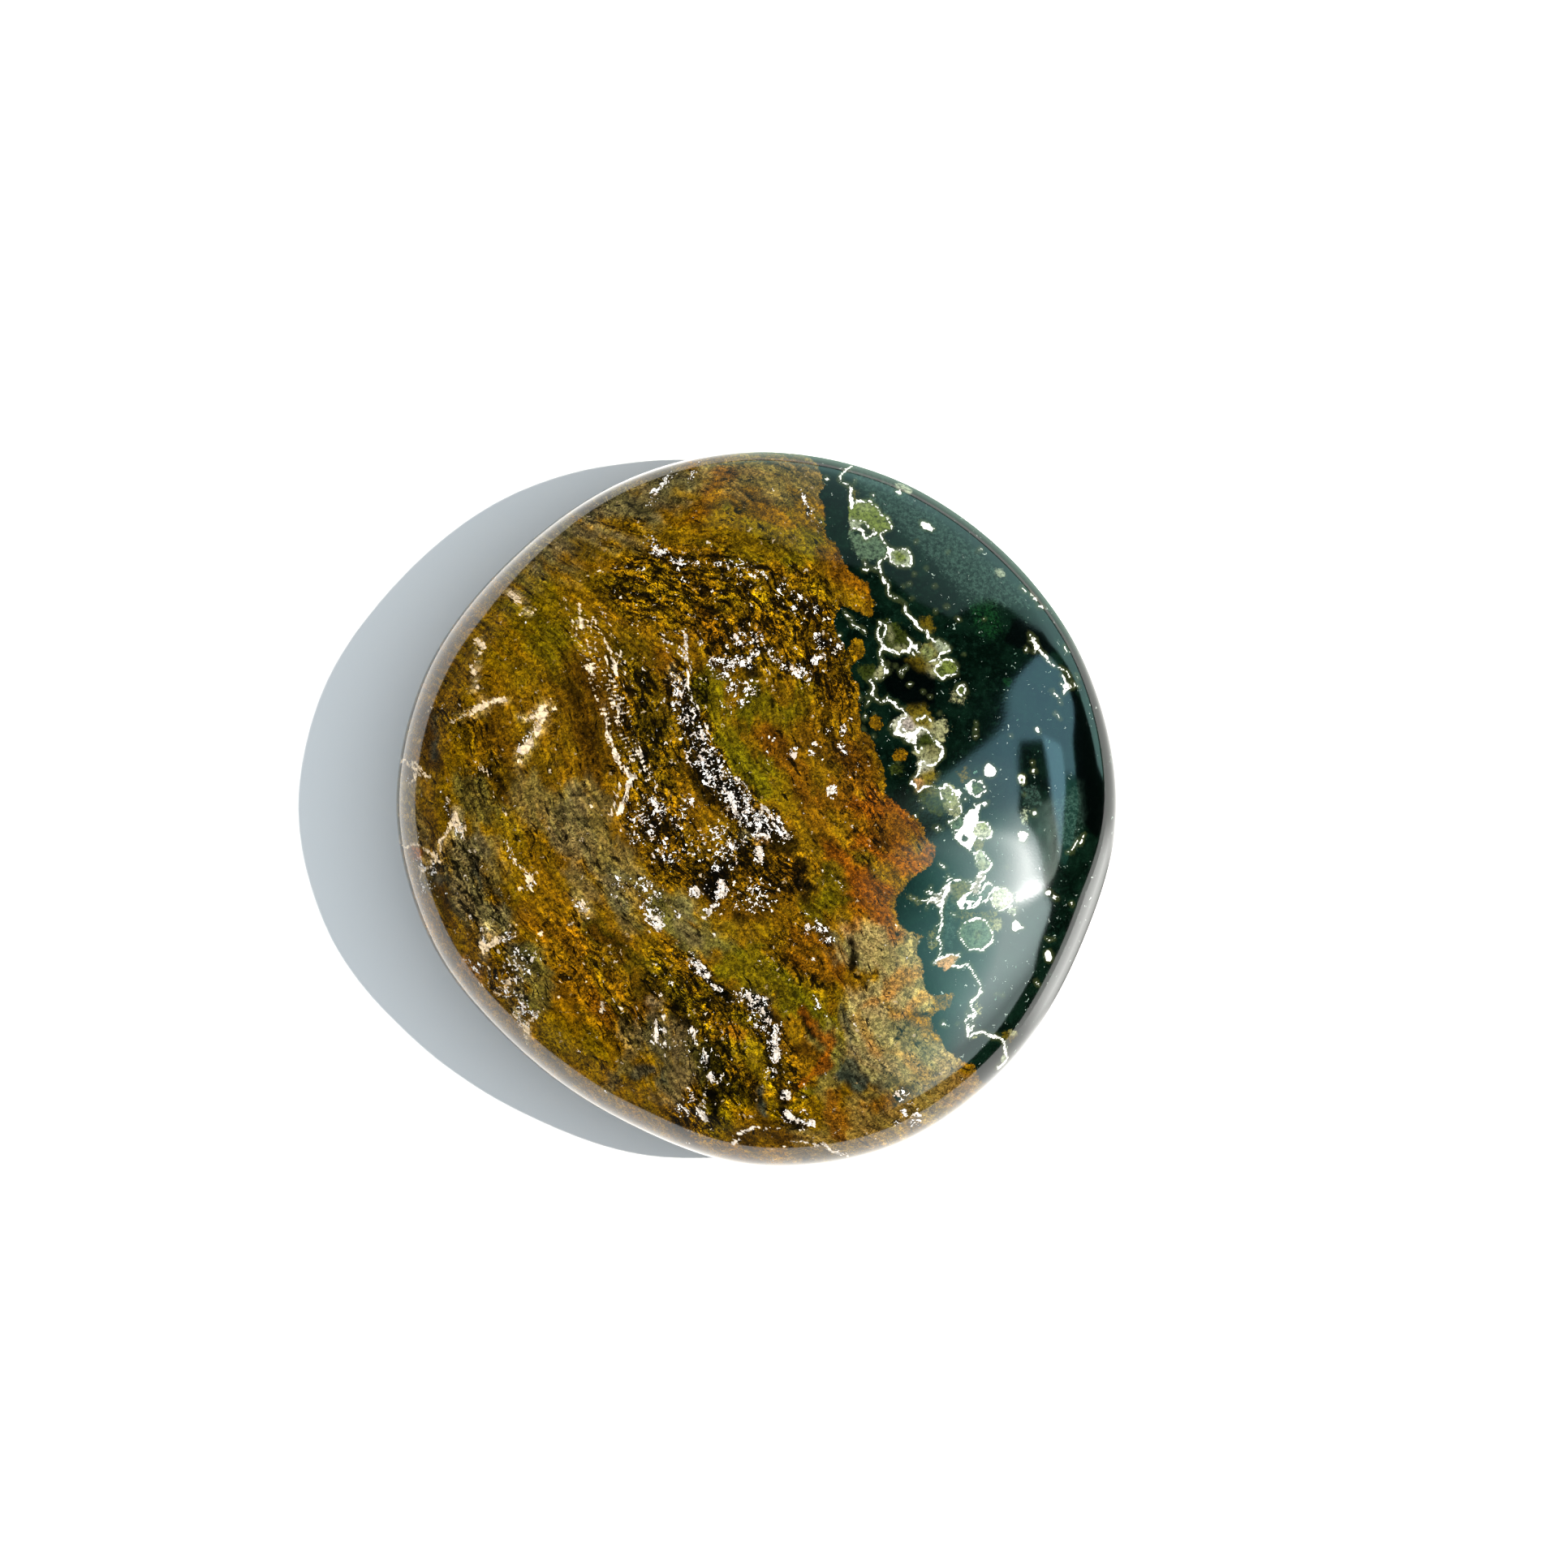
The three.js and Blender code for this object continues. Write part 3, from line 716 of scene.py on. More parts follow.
# ---------------------------------------------------------------------------------------------
# White chalcedony: the crinkled vein through the green rock, the walls of its orbs, small orbs
# cut at their tips, and the thin sheets in the brown rock. Half width in squares, then course.
# ---------------------------------------------------------------------------------------------
vein_courses = [
    (1.5, [(1051, 572), (1049, 576), (1041, 580), (1037, 585), (1035, 588), (1034, 592), (1038, 594),
        (1043, 596), (1049, 601), (1050, 606), (1048, 610), (1050, 614), (1051, 618)]),
    (2.4, [(1048, 613), (1049, 626)]),
    (1.4, [(1053, 618), (1060, 618), (1066, 617), (1071, 616), (1075, 620), (1079, 622), (1082, 628),
        (1085, 634), (1090, 634), (1094, 637), (1095, 644), (1098, 647), (1096, 653), (1090, 655),
        (1085, 659), (1087, 666), (1090, 669), (1095, 674), (1099, 676)]),
    (1.6, [(1050, 640), (1057, 642), (1062, 643), (1066, 645), (1071, 650), (1076, 654), (1080, 658)]),
    (1.6, [(1049, 651), (1056, 651), (1062, 653), (1064, 658), (1065, 664), (1068, 665), (1072, 661),
        (1079, 658)]),
    (1.5, [(1098, 677), (1094, 680), (1093, 686), (1087, 690), (1084, 693), (1083, 698), (1085, 704),
        (1087, 709), (1090, 714), (1094, 720), (1093, 726), (1095, 732), (1099, 735), (1104, 738),
        (1112, 741), (1115, 745), (1115, 751)]),
    (2.1, [(1115, 751), (1118, 756), (1124, 762), (1128, 767), (1131, 773), (1136, 776), (1141, 778),
        (1144, 784), (1143, 787), (1148, 790)]), (3.2, [(1089, 714), (1090, 717)]),
    (1.3, [(1065, 691), (1068, 697)]), (1.3, [(1063, 702), (1068, 705)]),
    (1.3, [(1072, 700), (1081, 702)]),
    (1.3, [(1148, 790), (1151, 792), (1156, 789), (1162, 791), (1167, 795), (1170, 799), (1169, 803),
        (1163, 803), (1158, 806), (1156, 812), (1150, 814), (1143, 815), (1139, 812), (1134, 808)]),
    (1.8, [(1134, 808), (1131, 805), (1127, 800), (1124, 797), (1120, 800), (1121, 806), (1128, 808)]),
    (1.2, [(1118, 786), (1121, 792), (1124, 797)]), (1.3, [(1125, 796), (1132, 795)]),
    (1.2, [(1124, 790), (1126, 796)]), (2.2, [(1121, 802), (1112, 802)]),
    (1.7, [(1112, 803), (1107, 805), (1102, 804), (1099, 801)]),
    (2.2, [(1099, 801), (1095, 800), (1090, 798)]),
    (1.2, [(1088, 794), (1085, 790), (1082, 786), (1083, 783), (1081, 779), (1083, 775), (1084, 770),
        (1083, 766), (1087, 768), (1091, 771), (1092, 775), (1090, 781), (1089, 787), (1088, 794)]),
    (1.8, [(1082, 783), (1084, 788)]),
    (1.4, [(1089, 796), (1085, 801), (1085, 808), (1086, 814), (1087, 821), (1089, 823), (1090, 828),
        (1091, 831), (1089, 834), (1086, 836), (1080, 836), (1074, 835), (1070, 837), (1074, 841),
        (1077, 846), (1078, 851), (1075, 853), (1072, 853), (1076, 857), (1080, 859), (1081, 864),
        (1087, 865), (1092, 863), (1096, 863), (1100, 867), (1104, 872)]),
    (1.5, [(1104, 872), (1109, 873), (1113, 873), (1116, 878), (1115, 884), (1109, 886), (1107, 889),
        (1109, 894)]), (1.2, [(1092, 863), (1094, 858)]), (2.0, [(1092, 824), (1094, 829)]),
    (1.1, [(1041, 755), (1049, 763), (1051, 771), (1062, 773), (1065, 779)]),
    (2.2, [(1109, 892), (1106, 899), (1105, 904), (1111, 906), (1118, 907), (1126, 908), (1131, 902)]),
    (2.0, [(1111, 898), (1118, 903), (1126, 905), (1130, 900), (1136, 897), (1141, 899), (1144, 903)]),
    (1.6, [(1115, 912), (1122, 913), (1128, 915)]), (1.2, [(1100, 891), (1096, 897)]),
    (1.3, [(1103, 905), (1100, 901)]),
    (1.3, [(1129, 886), (1131, 883), (1136, 884), (1141, 882), (1144, 886), (1147, 889)]),
    (1.0, [(1131, 889), (1134, 886)]), (1.8, [(1144, 903), (1148, 908), (1153, 912), (1157, 917)]),
    (2.4, [(1157, 917), (1161, 924), (1161, 930)]),
    (1.4, [(1161, 930), (1157, 935), (1153, 940), (1150, 943), (1146, 943), (1141, 941), (1138, 938),
        (1134, 937)]), (1.6, [(1129, 909), (1127, 916), (1129, 923), (1132, 927)]),
    (1.4, [(1132, 918), (1136, 921), (1134, 927)]), (1.8, [(1134, 937), (1134, 944), (1133, 951)]),
    (1.5, [(1133, 951), (1129, 957), (1125, 960), (1123, 965), (1128, 968), (1130, 977), (1134, 973),
        (1139, 969), (1146, 969), (1152, 970), (1158, 971), (1162, 971), (1164, 966), (1168, 967),
        (1172, 970), (1175, 974)]),
    (1.3, [(1181, 981), (1181, 986), (1184, 992), (1185, 997), (1184, 1003), (1180, 1007), (1175, 1011),
        (1170, 1011), (1167, 1013), (1172, 1016), (1174, 1022), (1178, 1029), (1183, 1034)]),
    (1.1, [(1159, 976), (1161, 981), (1160, 987)]),
    (1.0, [(1166, 984), (1170, 989), (1176, 990), (1180, 994)]), (1.0, [(1172, 978), (1175, 984)]),
    (0.9, [(1168, 996), (1173, 998), (1178, 1000)]),
    (1.5, [(1188, 1038), (1193, 1043), (1194, 1047), (1200, 1051), (1203, 1054)]),
    (1.4, [(1203, 1054), (1208, 1049), (1212, 1049), (1215, 1055), (1219, 1060), (1221, 1065),
        (1218, 1070), (1214, 1074), (1213, 1079)]),
    (1.0, [(1203, 1054), (1204, 1062), (1206, 1068), (1209, 1073)]),
    (1.7, [(1212, 1074), (1205, 1076), (1203, 1082), (1201, 1087), (1199, 1092), (1198, 1098)]),
    (1.3, [(1213, 1079), (1211, 1084), (1207, 1090), (1206, 1097)]),
    (1.7, [(1199, 1090), (1193, 1085), (1190, 1086), (1183, 1085), (1178, 1083), (1172, 1082),
        (1168, 1079), (1167, 1083), (1169, 1088), (1168, 1093), (1163, 1093)]),
    (1.1, [(1183, 1085), (1183, 1081)]),
    (1.6, [(1163, 1093), (1158, 1102), (1150, 1103), (1141, 1099)]),
    (1.1, [(1150, 1103), (1147, 1097), (1146, 1092)]),
    (1.4, [(1160, 1108), (1150, 1109), (1140, 1109)]), (1.2, [(1143, 1110), (1143, 1120)]),
    (1.5, [(1152, 1111), (1157, 1116), (1160, 1121)]),
    (2.0, [(1167, 1095), (1163, 1104), (1161, 1116)]),
    (0.9, [(1122, 1104), (1130, 1110), (1139, 1110)]),
    (2.0, [(1160, 1121), (1160, 1132), (1160, 1141), (1158, 1149), (1156, 1157), (1159, 1161),
        (1159, 1171), (1158, 1178), (1151, 1185)]),
    (1.3, [(1208, 1080), (1213, 1083), (1218, 1087), (1224, 1091), (1229, 1095)]),
    (1.2, [(1156, 1181), (1168, 1177), (1175, 1177), (1183, 1176), (1181, 1180), (1176, 1188),
        (1172, 1190)]),
    (1.8, [(1175, 1190), (1183, 1190), (1192, 1188), (1196, 1193), (1200, 1201), (1205, 1208),
        (1208, 1214), (1208, 1221), (1206, 1227), (1200, 1231), (1196, 1235), (1197, 1242),
        (1202, 1245), (1202, 1252), (1197, 1252), (1191, 1256), (1191, 1262), (1193, 1271),
        (1194, 1277), (1199, 1273), (1205, 1271), (1212, 1273), (1221, 1277), (1228, 1277),
        (1232, 1279), (1236, 1281), (1239, 1292), (1241, 1304), (1235, 1311), (1229, 1315)]),
    (1.1, [(1191, 1256), (1192, 1248)]),
    (1.4, [(1198, 1254), (1199, 1262), (1196, 1269), (1192, 1268)]),
    # thin sheets in the brown rock
    (1.0, [(702, 775), (712, 800), (720, 825), (727, 845), (735, 860)]),
    (3.2, [(714, 750), (717, 776)]), (2.2, [(720, 780), (724, 795), (728, 812), (731, 830)]),
    (3.2, [(727, 822), (731, 834)]),
    (2.0, [(736, 862), (741, 868), (746, 880), (750, 892), (748, 900)]),
    (2.4, [(738, 776), (743, 786), (748, 796), (753, 806), (757, 815)]),
    (3.8, [(757, 817), (758, 831)]),
    (3.0, [(758, 832), (757, 842), (760, 855), (763, 866), (766, 878)]),
    (1.6, [(757, 805), (764, 812), (772, 815)]),
    (4.0, [(749, 904), (753, 915), (759, 928), (766, 942), (773, 953)]),
    (4.4, [(775, 955), (783, 957)]),
    (4.2, [(777, 960), (773, 975), (770, 985), (766, 997), (761, 1003)]),
    (1.2, [(762, 985), (759, 1000)]), (3.0, [(776, 914), (785, 926), (790, 933)]),
    (3.2, [(790, 932), (797, 945), (802, 956)]), (1.2, [(783, 950), (797, 946)]),
    (1.6, [(775, 935), (785, 938)]),
    (2.6, [(803, 958), (808, 968), (805, 980), (809, 990), (815, 995)]),
    (1.2, [(758, 960), (757, 975), (758, 992)]),
    (2.0, [(819, 781), (830, 777), (840, 781), (844, 773)]),
    (2.3, [(844, 778), (845, 794), (847, 808), (850, 818), (848, 832), (847, 846), (851, 858)]),
    (2.0, [(811, 782), (816, 789), (823, 803)]), (2.0, [(823, 790), (838, 797), (845, 803)]),
    (2.0, [(828, 800), (840, 808), (847, 815)]),
    (1.7, [(851, 858), (860, 872), (868, 890), (876, 903)]),
    (1.8, [(893, 950), (905, 958), (916, 968), (921, 978), (932, 988), (945, 995), (952, 1008),
        (962, 1018), (970, 1028), (965, 1036)]),
    (1.5, [(722, 711), (735, 704), (748, 702), (760, 698)]),
    (1.8, [(903, 1400), (915, 1393), (930, 1389), (936, 1389)]), (1.8, [(942, 1391), (947, 1391)]),
    (1.8, [(956, 1390), (965, 1389)]), (2.0, [(976, 1405), (980, 1408)]),
    (1.8, [(987, 1405), (1000, 1409), (1008, 1411)]),
    (2.4, [(1012, 1409), (1020, 1415), (1030, 1419), (1042, 1424)]), (3.4, [(905, 1408), (910, 1404)]),
    (1.3, [(808, 875), (815, 865), (820, 860)]), (1.4, [(1106, 1140), (1102, 1146), (1099, 1150)]),
    (1.2, [(500, 930), (505, 945), (515, 955), (525, 957)]),
    (1.8, [(938, 823), (944, 826), (950, 830)]), (2.4, [(812, 1128), (811, 1142)]),
    (1.6, [(886, 1128), (894, 1120)]), (1.6, [(816, 1285), (818, 1298)]),
    (1.5, [(742, 1233), (742, 1244)]), (1.5, [(756, 1232), (766, 1244)]),
    (1.6, [(694, 736), (706, 765), (716, 800), (726, 835), (738, 872), (748, 905), (760, 940)]),
    (1.5, [(712, 742), (728, 775), (738, 812), (748, 850), (757, 885), (770, 925), (780, 948)]),
    (1.5, [(730, 758), (744, 790), (750, 830), (756, 862), (768, 900), (784, 935)]),
    (1.3, [(738, 745), (752, 775), (764, 800), (770, 830), (772, 862), (780, 900), (792, 930)]),
    (1.4, [(786, 958), (796, 962), (806, 956)]), (2.0, [(766, 965), (756, 990), (752, 1006)]),
    (4.6, [(630, 732), (640, 742)]), (2.6, [(646, 748), (640, 760)]), (2.0, [(655, 755), (661, 748)]),
    (4.6, [(588, 788), (596, 798)]), (2.4, [(592, 805), (588, 812)]), (4.0, [(582, 820), (584, 828)]),
    (2.8, [(586, 832), (588, 842), (589, 852)]), (2.2, [(567, 884), (578, 880)]),
    (4.6, [(582, 876), (596, 868), (608, 864), (622, 862)]), (2.2, [(556, 890), (561, 889)]),
    (5.4, [(668, 872), (668, 884), (663, 896), (660, 906)]), (6.4, [(652, 916), (645, 926)]),
    (3.2, [(640, 884), (650, 886), (660, 880)]), (2.4, [(674, 868), (673, 878)]),
    (2.2, [(680, 860), (686, 864), (682, 874)]),
    (2.4, [(586, 938), (592, 945), (600, 952), (606, 956)]), (2.2, [(607, 975), (609, 980)]),
    (2.0, [(622, 1000), (624, 1006)]), (3.6, [(510, 940), (515, 946), (512, 955), (507, 965)]),
    (2.6, [(518, 952), (528, 958)]), (1.9, [(512, 880), (507, 890), (503, 900), (500, 912)]),
    (2.2, [(528, 876), (532, 872)]), (3.0, [(549, 984), (552, 990)]),
    (4.8, [(560, 1004), (562, 1016), (568, 1022)]), (3.0, [(556, 1012), (550, 1026)]),
    (2.5, [(574, 1018), (570, 1034)]), (2.6, [(624, 1036), (628, 1044), (631, 1055), (635, 1064)]),
    (2.0, [(635, 1064), (645, 1070), (650, 1074)]), (4.8, [(650, 1080), (652, 1086)]),
    (2.4, [(654, 1092), (654, 1100)]), (2.1, [(645, 1092), (638, 1096)]),
    (2.2, [(660, 1076), (664, 1074)]),
    (2.4, [(525, 1045), (532, 1052), (538, 1056), (541, 1048), (542, 1038), (546, 1032)]),
    (2.4, [(532, 1060), (545, 1062)]), (2.6, [(512, 1068), (520, 1072), (530, 1068)]),
    (2.2, [(518, 1078), (516, 1088)]), (2.2, [(502, 1044), (508, 1040), (518, 1041), (524, 1048)]),
    (3.0, [(594, 1142), (596, 1152)]), (4.4, [(592, 1162), (597, 1172), (604, 1164), (612, 1160)]),
    (2.5, [(608, 1156), (620, 1156)]), (2.2, [(628, 1140), (636, 1140)]),
    (2.0, [(603, 1192), (605, 1204), (600, 1214), (590, 1212)]), (2.0, [(566, 1186), (574, 1194)]),
    (4.0, [(628, 1206), (622, 1218)]), (2.6, [(610, 1222), (615, 1228)]),
    (3.0, [(640, 1246), (642, 1254), (646, 1262)]), (4.0, [(648, 1262), (650, 1272)]),
    (3.0, [(655, 1258), (662, 1248)]), (2.5, [(632, 1250), (640, 1256)]),
    (3.4, [(742, 1236), (742, 1246)]), (3.0, [(666, 1150), (662, 1158)]),
    (4.0, [(718, 1112), (722, 1122)]), (3.2, [(858, 1185), (863, 1193)]),
    (3.4, [(878, 1215), (887, 1219)]), (3.4, [(955, 1264), (954, 1284)]),
    (5.2, [(956, 1293), (957, 1304)]), (4.0, [(968, 1344), (972, 1352)]),
    (4.0, [(970, 1372), (982, 1380)]), (3.0, [(986, 1380), (999, 1382)]),
    (3.0, [(1002, 1381), (1002, 1388)]), (2.6, [(808, 1260), (808, 1285)]),
    (2.0, [(817, 1252), (819, 1275), (818, 1300)]), (3.0, [(852, 1268), (857, 1288)]),
    (2.6, [(868, 1293), (871, 1311)]), (2.6, [(868, 1348), (868, 1364)]),
    (3.6, [(860, 1367), (870, 1380)]), (2.8, [(872, 1326), (884, 1334)]),
    (2.4, [(893, 952), (915, 962), (930, 985), (945, 995), (960, 1015), (975, 1035)]),
    (2.8, [(902, 991), (907, 1004)]), (3.0, [(940, 991), (937, 1004)]),
    (5.0, [(936, 1046), (937, 1058)]), (2.4, [(928, 1030), (944, 1028), (944, 1038)]),
    (4.2, [(889, 1086), (891, 1094), (888, 1103)]), (3.2, [(856, 1093), (861, 1101)]),
    (3.4, [(868, 1130), (874, 1122), (881, 1116)]), (4.4, [(806, 1130), (812, 1146)]),
    (1.8, [(1015, 1072), (1035, 1090), (1040, 1100)]), (2.6, [(1021, 972), (1032, 980)]),
    (2.4, [(1030, 969), (1019, 980)]), (2.4, [(920, 1226), (930, 1236)]),
    (2.4, [(938, 1244), (946, 1254)]), (1.8, [(902, 1400), (925, 1392)]),
    (1.8, [(1013, 1408), (1030, 1417), (1045, 1425)]),
    # the fine branching vein by the far rim
    (1.0, [(1268, 780), (1274, 790)]), (1.2, [(1272, 789), (1279, 798), (1285, 806), (1292, 814)]),
    (1.1, [(1292, 814), (1299, 820), (1306, 823), (1314, 827), (1318, 834)]),
    (1.5, [(1308, 832), (1314, 840), (1316, 848), (1311, 851)]), (1.0, [(1316, 848), (1322, 847)]),
    (1.1, [(1296, 850), (1301, 856), (1305, 860), (1306, 866)]), (1.0, [(1320, 840), (1329, 846)]),
    (0.9, [(1329, 836), (1326, 832)]), (1.0, [(1300, 878), (1306, 885)]),
    (1.4, [(1322, 1045), (1328, 1036)]), (1.1, [(1331, 1040), (1336, 1028)]),
    (1.0, [(1315, 1050), (1322, 1050)]),
    # short streaks
    (1.1, [(1271, 782), (1276, 787)]), (1.0, [(1270, 790), (1275, 794)]),
    (1.2, [(1283, 803), (1292, 815)]), (1.1, [(1313, 795), (1315, 803)]),
    (1.4, [(1273, 736), (1276, 739)]), (1.6, [(1279, 746), (1285, 749)]),
    (1.1, [(1269, 731), (1271, 733)]), (0.9, [(1289, 1155), (1295, 1158), (1299, 1157)]),
    (1.1, [(1275, 1209), (1279, 1213)]), (1.3, [(1172, 1125), (1178, 1127)]),
    (1.2, [(1162, 1259), (1162, 1263), (1166, 1265)]), (1.0, [(1306, 842), (1312, 846), (1318, 843)]),
    (1.0, [(1313, 838), (1312, 846), (1311, 855)]), (1.0, [(1150, 1020), (1160, 1022)]),
    (0.9, [(1156, 1018), (1155, 1024)]), (1.4, [(1157, 1065), (1165, 1070)]),
    (0.9, [(1244, 905), (1247, 908)]), (1.0, [(1110, 832), (1111, 826), (1116, 823)]),
    (0.9, [(1068, 860), (1072, 862), (1068, 868)]), (1.0, [(1065, 880), (1066, 886)]),
]
orb_walls = [
    (1.5, [(1100, 676), (1106, 678), (1112, 676), (1118, 677), (1120, 680), (1123, 685), (1123, 689),
        (1122, 694), (1119, 698), (1112, 697), (1106, 697), (1104, 694), (1098, 691), (1096, 686),
        (1098, 680)]),
    (1.4, [(1151, 825), (1153, 821), (1157, 820), (1158, 815), (1166, 812), (1174, 815), (1180, 821),
        (1179, 830), (1174, 833), (1166, 833), (1160, 836), (1155, 834)]),
    (1.4, [(1180, 850), (1181, 846), (1184, 844), (1189, 847), (1190, 853), (1186, 857), (1181, 856)]),
    (1.5, [(1196, 965), (1199, 961), (1206, 963), (1209, 960), (1213, 968), (1214, 974), (1207, 981),
        (1200, 980), (1196, 974)]),
    (1.5, [(1202, 1015), (1209, 1013), (1215, 1013), (1219, 1019), (1222, 1025), (1219, 1031),
        (1212, 1035), (1205, 1033), (1199, 1030), (1199, 1021)]),
    (1.4, [(1209, 1097), (1213, 1091), (1218, 1088), (1224, 1093), (1223, 1098), (1219, 1101),
        (1218, 1106), (1214, 1112), (1210, 1109), (1208, 1103)]),
    (1.3, [(1222, 1104), (1226, 1097), (1232, 1094), (1240, 1095), (1244, 1100), (1245, 1106),
        (1247, 1111), (1241, 1119), (1235, 1122), (1228, 1121), (1223, 1114)]),
    (1.1, [(1244, 1118), (1249, 1116), (1253, 1120), (1252, 1126), (1247, 1128), (1243, 1124)]),
    (1.5, [(1181, 1148), (1186, 1139), (1192, 1135), (1200, 1133), (1206, 1131), (1214, 1133),
        (1217, 1140), (1222, 1146), (1223, 1155), (1221, 1162), (1215, 1166), (1212, 1170),
        (1203, 1170), (1195, 1171), (1190, 1166), (1187, 1160), (1184, 1154)]),
]
white_patches = [
    [(1191, 1002), (1196, 998), (1202, 996), (1206, 988), (1208, 992), (1206, 1000), (1205, 1008),
        (1202, 1014), (1199, 1021), (1199, 1030), (1203, 1034), (1200, 1040), (1195, 1047),
        (1191, 1046), (1186, 1041), (1180, 1036), (1176, 1030), (1174, 1024), (1182, 1021),
        (1187, 1016), (1186, 1009)],
    [(1178, 1112), (1181, 1105), (1186, 1101), (1193, 1099), (1200, 1100), (1206, 1103), (1209, 1110),
        (1207, 1115), (1200, 1119), (1190, 1121), (1182, 1119)],
    [(1190, 968), (1192, 963), (1197, 961), (1198, 972), (1196, 979), (1191, 974)],
    [(1213, 945), (1217, 940), (1223, 942), (1228, 949), (1226, 955), (1220, 959), (1214, 955),
        (1212, 950)], [(1176, 974), (1180, 971), (1186, 977), (1182, 983), (1178, 981)],
    [(1209, 988), (1217, 987), (1217, 993), (1212, 995)],
    [(1200, 990), (1206, 990), (1205, 994), (1200, 993)],
    [(1274, 898), (1278, 897), (1282, 901), (1281, 904), (1275, 902)],
    [(1246, 1142), (1249, 1135), (1252, 1133), (1257, 1138), (1261, 1144), (1256, 1145), (1252, 1148),
        (1247, 1147)],
    [(1254, 1030), (1257, 1025), (1264, 1025), (1267, 1031), (1262, 1039), (1256, 1036)],
    [(1133, 643), (1135, 641), (1140, 642), (1145, 646), (1151, 652), (1148, 656), (1141, 653),
        (1137, 651)],
]
white_dots = [
    (1018, 589, 2.6), (1054, 592, 1.5), (1076, 609, 1.4), (1126, 708, 2.0), (1152, 721, 1.8),
    (1120, 720, 1.4), (1113, 722, 1.1), (1125, 738, 1.4), (1153, 753, 1.7), (1166, 748, 1.6),
    (1180, 763, 1.9), (1205, 680, 1.7), (1209, 677, 2.2), (1129, 668, 1.6), (1141, 701, 1.7),
    (1167, 680, 1.3), (1259, 960, 5.5), (1274, 1002, 2.6), (1202, 892, 1.3), (1202, 899, 2.0),
    (1202, 908, 1.8), (1128, 1005, 2.0), (1134, 985, 1.7), (1136, 996, 1.3), (1292, 1100, 4.5),
    (1301, 1106, 2.8), (1320, 1114, 1.8), (1291, 1175, 4.8), (1292, 1180, 4.6), (1154, 1143, 1.4),
    (1180, 1261, 1.3), (1089, 1235, 2.3), (1273, 939, 1.7), (1274, 950, 2.2), (1263, 979, 1.3),
    (1190, 985, 2.0), (1277, 798, 3.2), (1274, 802, 2.2), (1264, 800, 1.9), (1259, 724, 1.9),
    (1262, 729, 1.8), (1213, 763, 1.4), (1109, 607, 3.0), (1105, 606, 2.0), (1094, 817, 1.2),
    (1102, 820, 1.2), (1108, 828, 1.2), (1117, 823, 1.2), (1120, 844, 1.8), (1123, 843, 1.2),
    (1138, 852, 1.2), (1146, 859, 1.2), (1157, 878, 1.2), (1188, 807, 1.0), (1097, 772, 1.0),
    (1034, 783, 1.8), (1058, 860, 2.2), (1055, 855, 1.4), (1065, 887, 1.4), (1064, 898, 1.2),
    (1077, 906, 1.4), (1077, 880, 1.2), (1118, 1020, 1.0), (1200, 1245, 1.0), (1235, 1226, 1.4),
    (1227, 1225, 1.2), (1241, 1068, 1.2), (1154, 960, 1.4), (1156, 953, 1.0), (1107, 939, 1.0),
    (693, 785, 1.6), (626, 1041, 2.0), (632, 1052, 1.8), (588, 1038, 2.2), (677, 950, 3.0),
    (654, 754, 2.0), (967, 643, 1.8), (920, 656, 1.5), (945, 936, 1.8), (948, 941, 1.5),
    (953, 913, 1.7), (990, 1003, 1.5), (1044, 994, 1.6), (988, 990, 1.5), (743, 1005, 2.0),
    (1054, 1263, 2.6), (1052, 1250, 1.5), (1030, 1268, 2.2), (1025, 1262, 1.5), (1082, 1307, 2.0),
    (1077, 1342, 2.0), (1052, 1300, 1.9), (898, 1298, 2.0), (905, 1305, 1.5), (923, 1315, 1.5),
    (719, 1188, 2.0), (722, 1210, 2.2), (743, 1241, 2.4), (685, 1264, 1.5), (690, 1210, 2.0),
    (688, 1228, 2.4), (880, 1151, 2.6), (1003, 1181, 2.0), (827, 1174, 1.4), (1104, 1141, 1.9),
    (1072, 1042, 1.4), (1041, 1043, 2.2), (1072, 1036, 1.6), (1064, 1066, 1.4), (991, 1335, 1.8),
    (987, 1352, 2.4), (1002, 1400, 1.6), (987, 1392, 2.0), (966, 1413, 2.0), (728, 994, 2.0),
    (792, 810, 1.6), (868, 660, 1.5), (873, 669, 2.6), (864, 792, 4.0), (1103, 865, 1.8),
    (640, 938, 4.0), (678, 950, 3.0), (514, 877, 2.4), (634, 1154, 3.0), (668, 1244, 2.2),
    (648, 1278, 4.0), (650, 1286, 2.2), (717, 1282, 3.4), (871, 1202, 5.0), (954, 1321, 3.0),
    (972, 1335, 3.0), (990, 1352, 3.0), (991, 1368, 3.6), (989, 1391, 2.8), (1003, 1400, 2.2),
    (918, 997, 3.6), (835, 1128, 3.6), (798, 1150, 3.0),
]
pits = [
    (1189, 1033, 3.8), (1180, 1025, 1.7), (1189, 1115, 3.0), (1192, 1106, 3.0), (1197, 1105, 3.6),
    (1203, 1107, 3.4), (1199, 1114, 2.2), (1259, 961, 1.6), (1125, 804, 2.2), (1194, 1261, 2.4),
    (1117, 903, 1.2), (1067, 653, 2.6),
]
# The gap to the nearest white, in squares: below zero inside it, and at most farthest_gap.
farthest_gap = 9.0
white_gap = np.full(len(chart), farthest_gap)
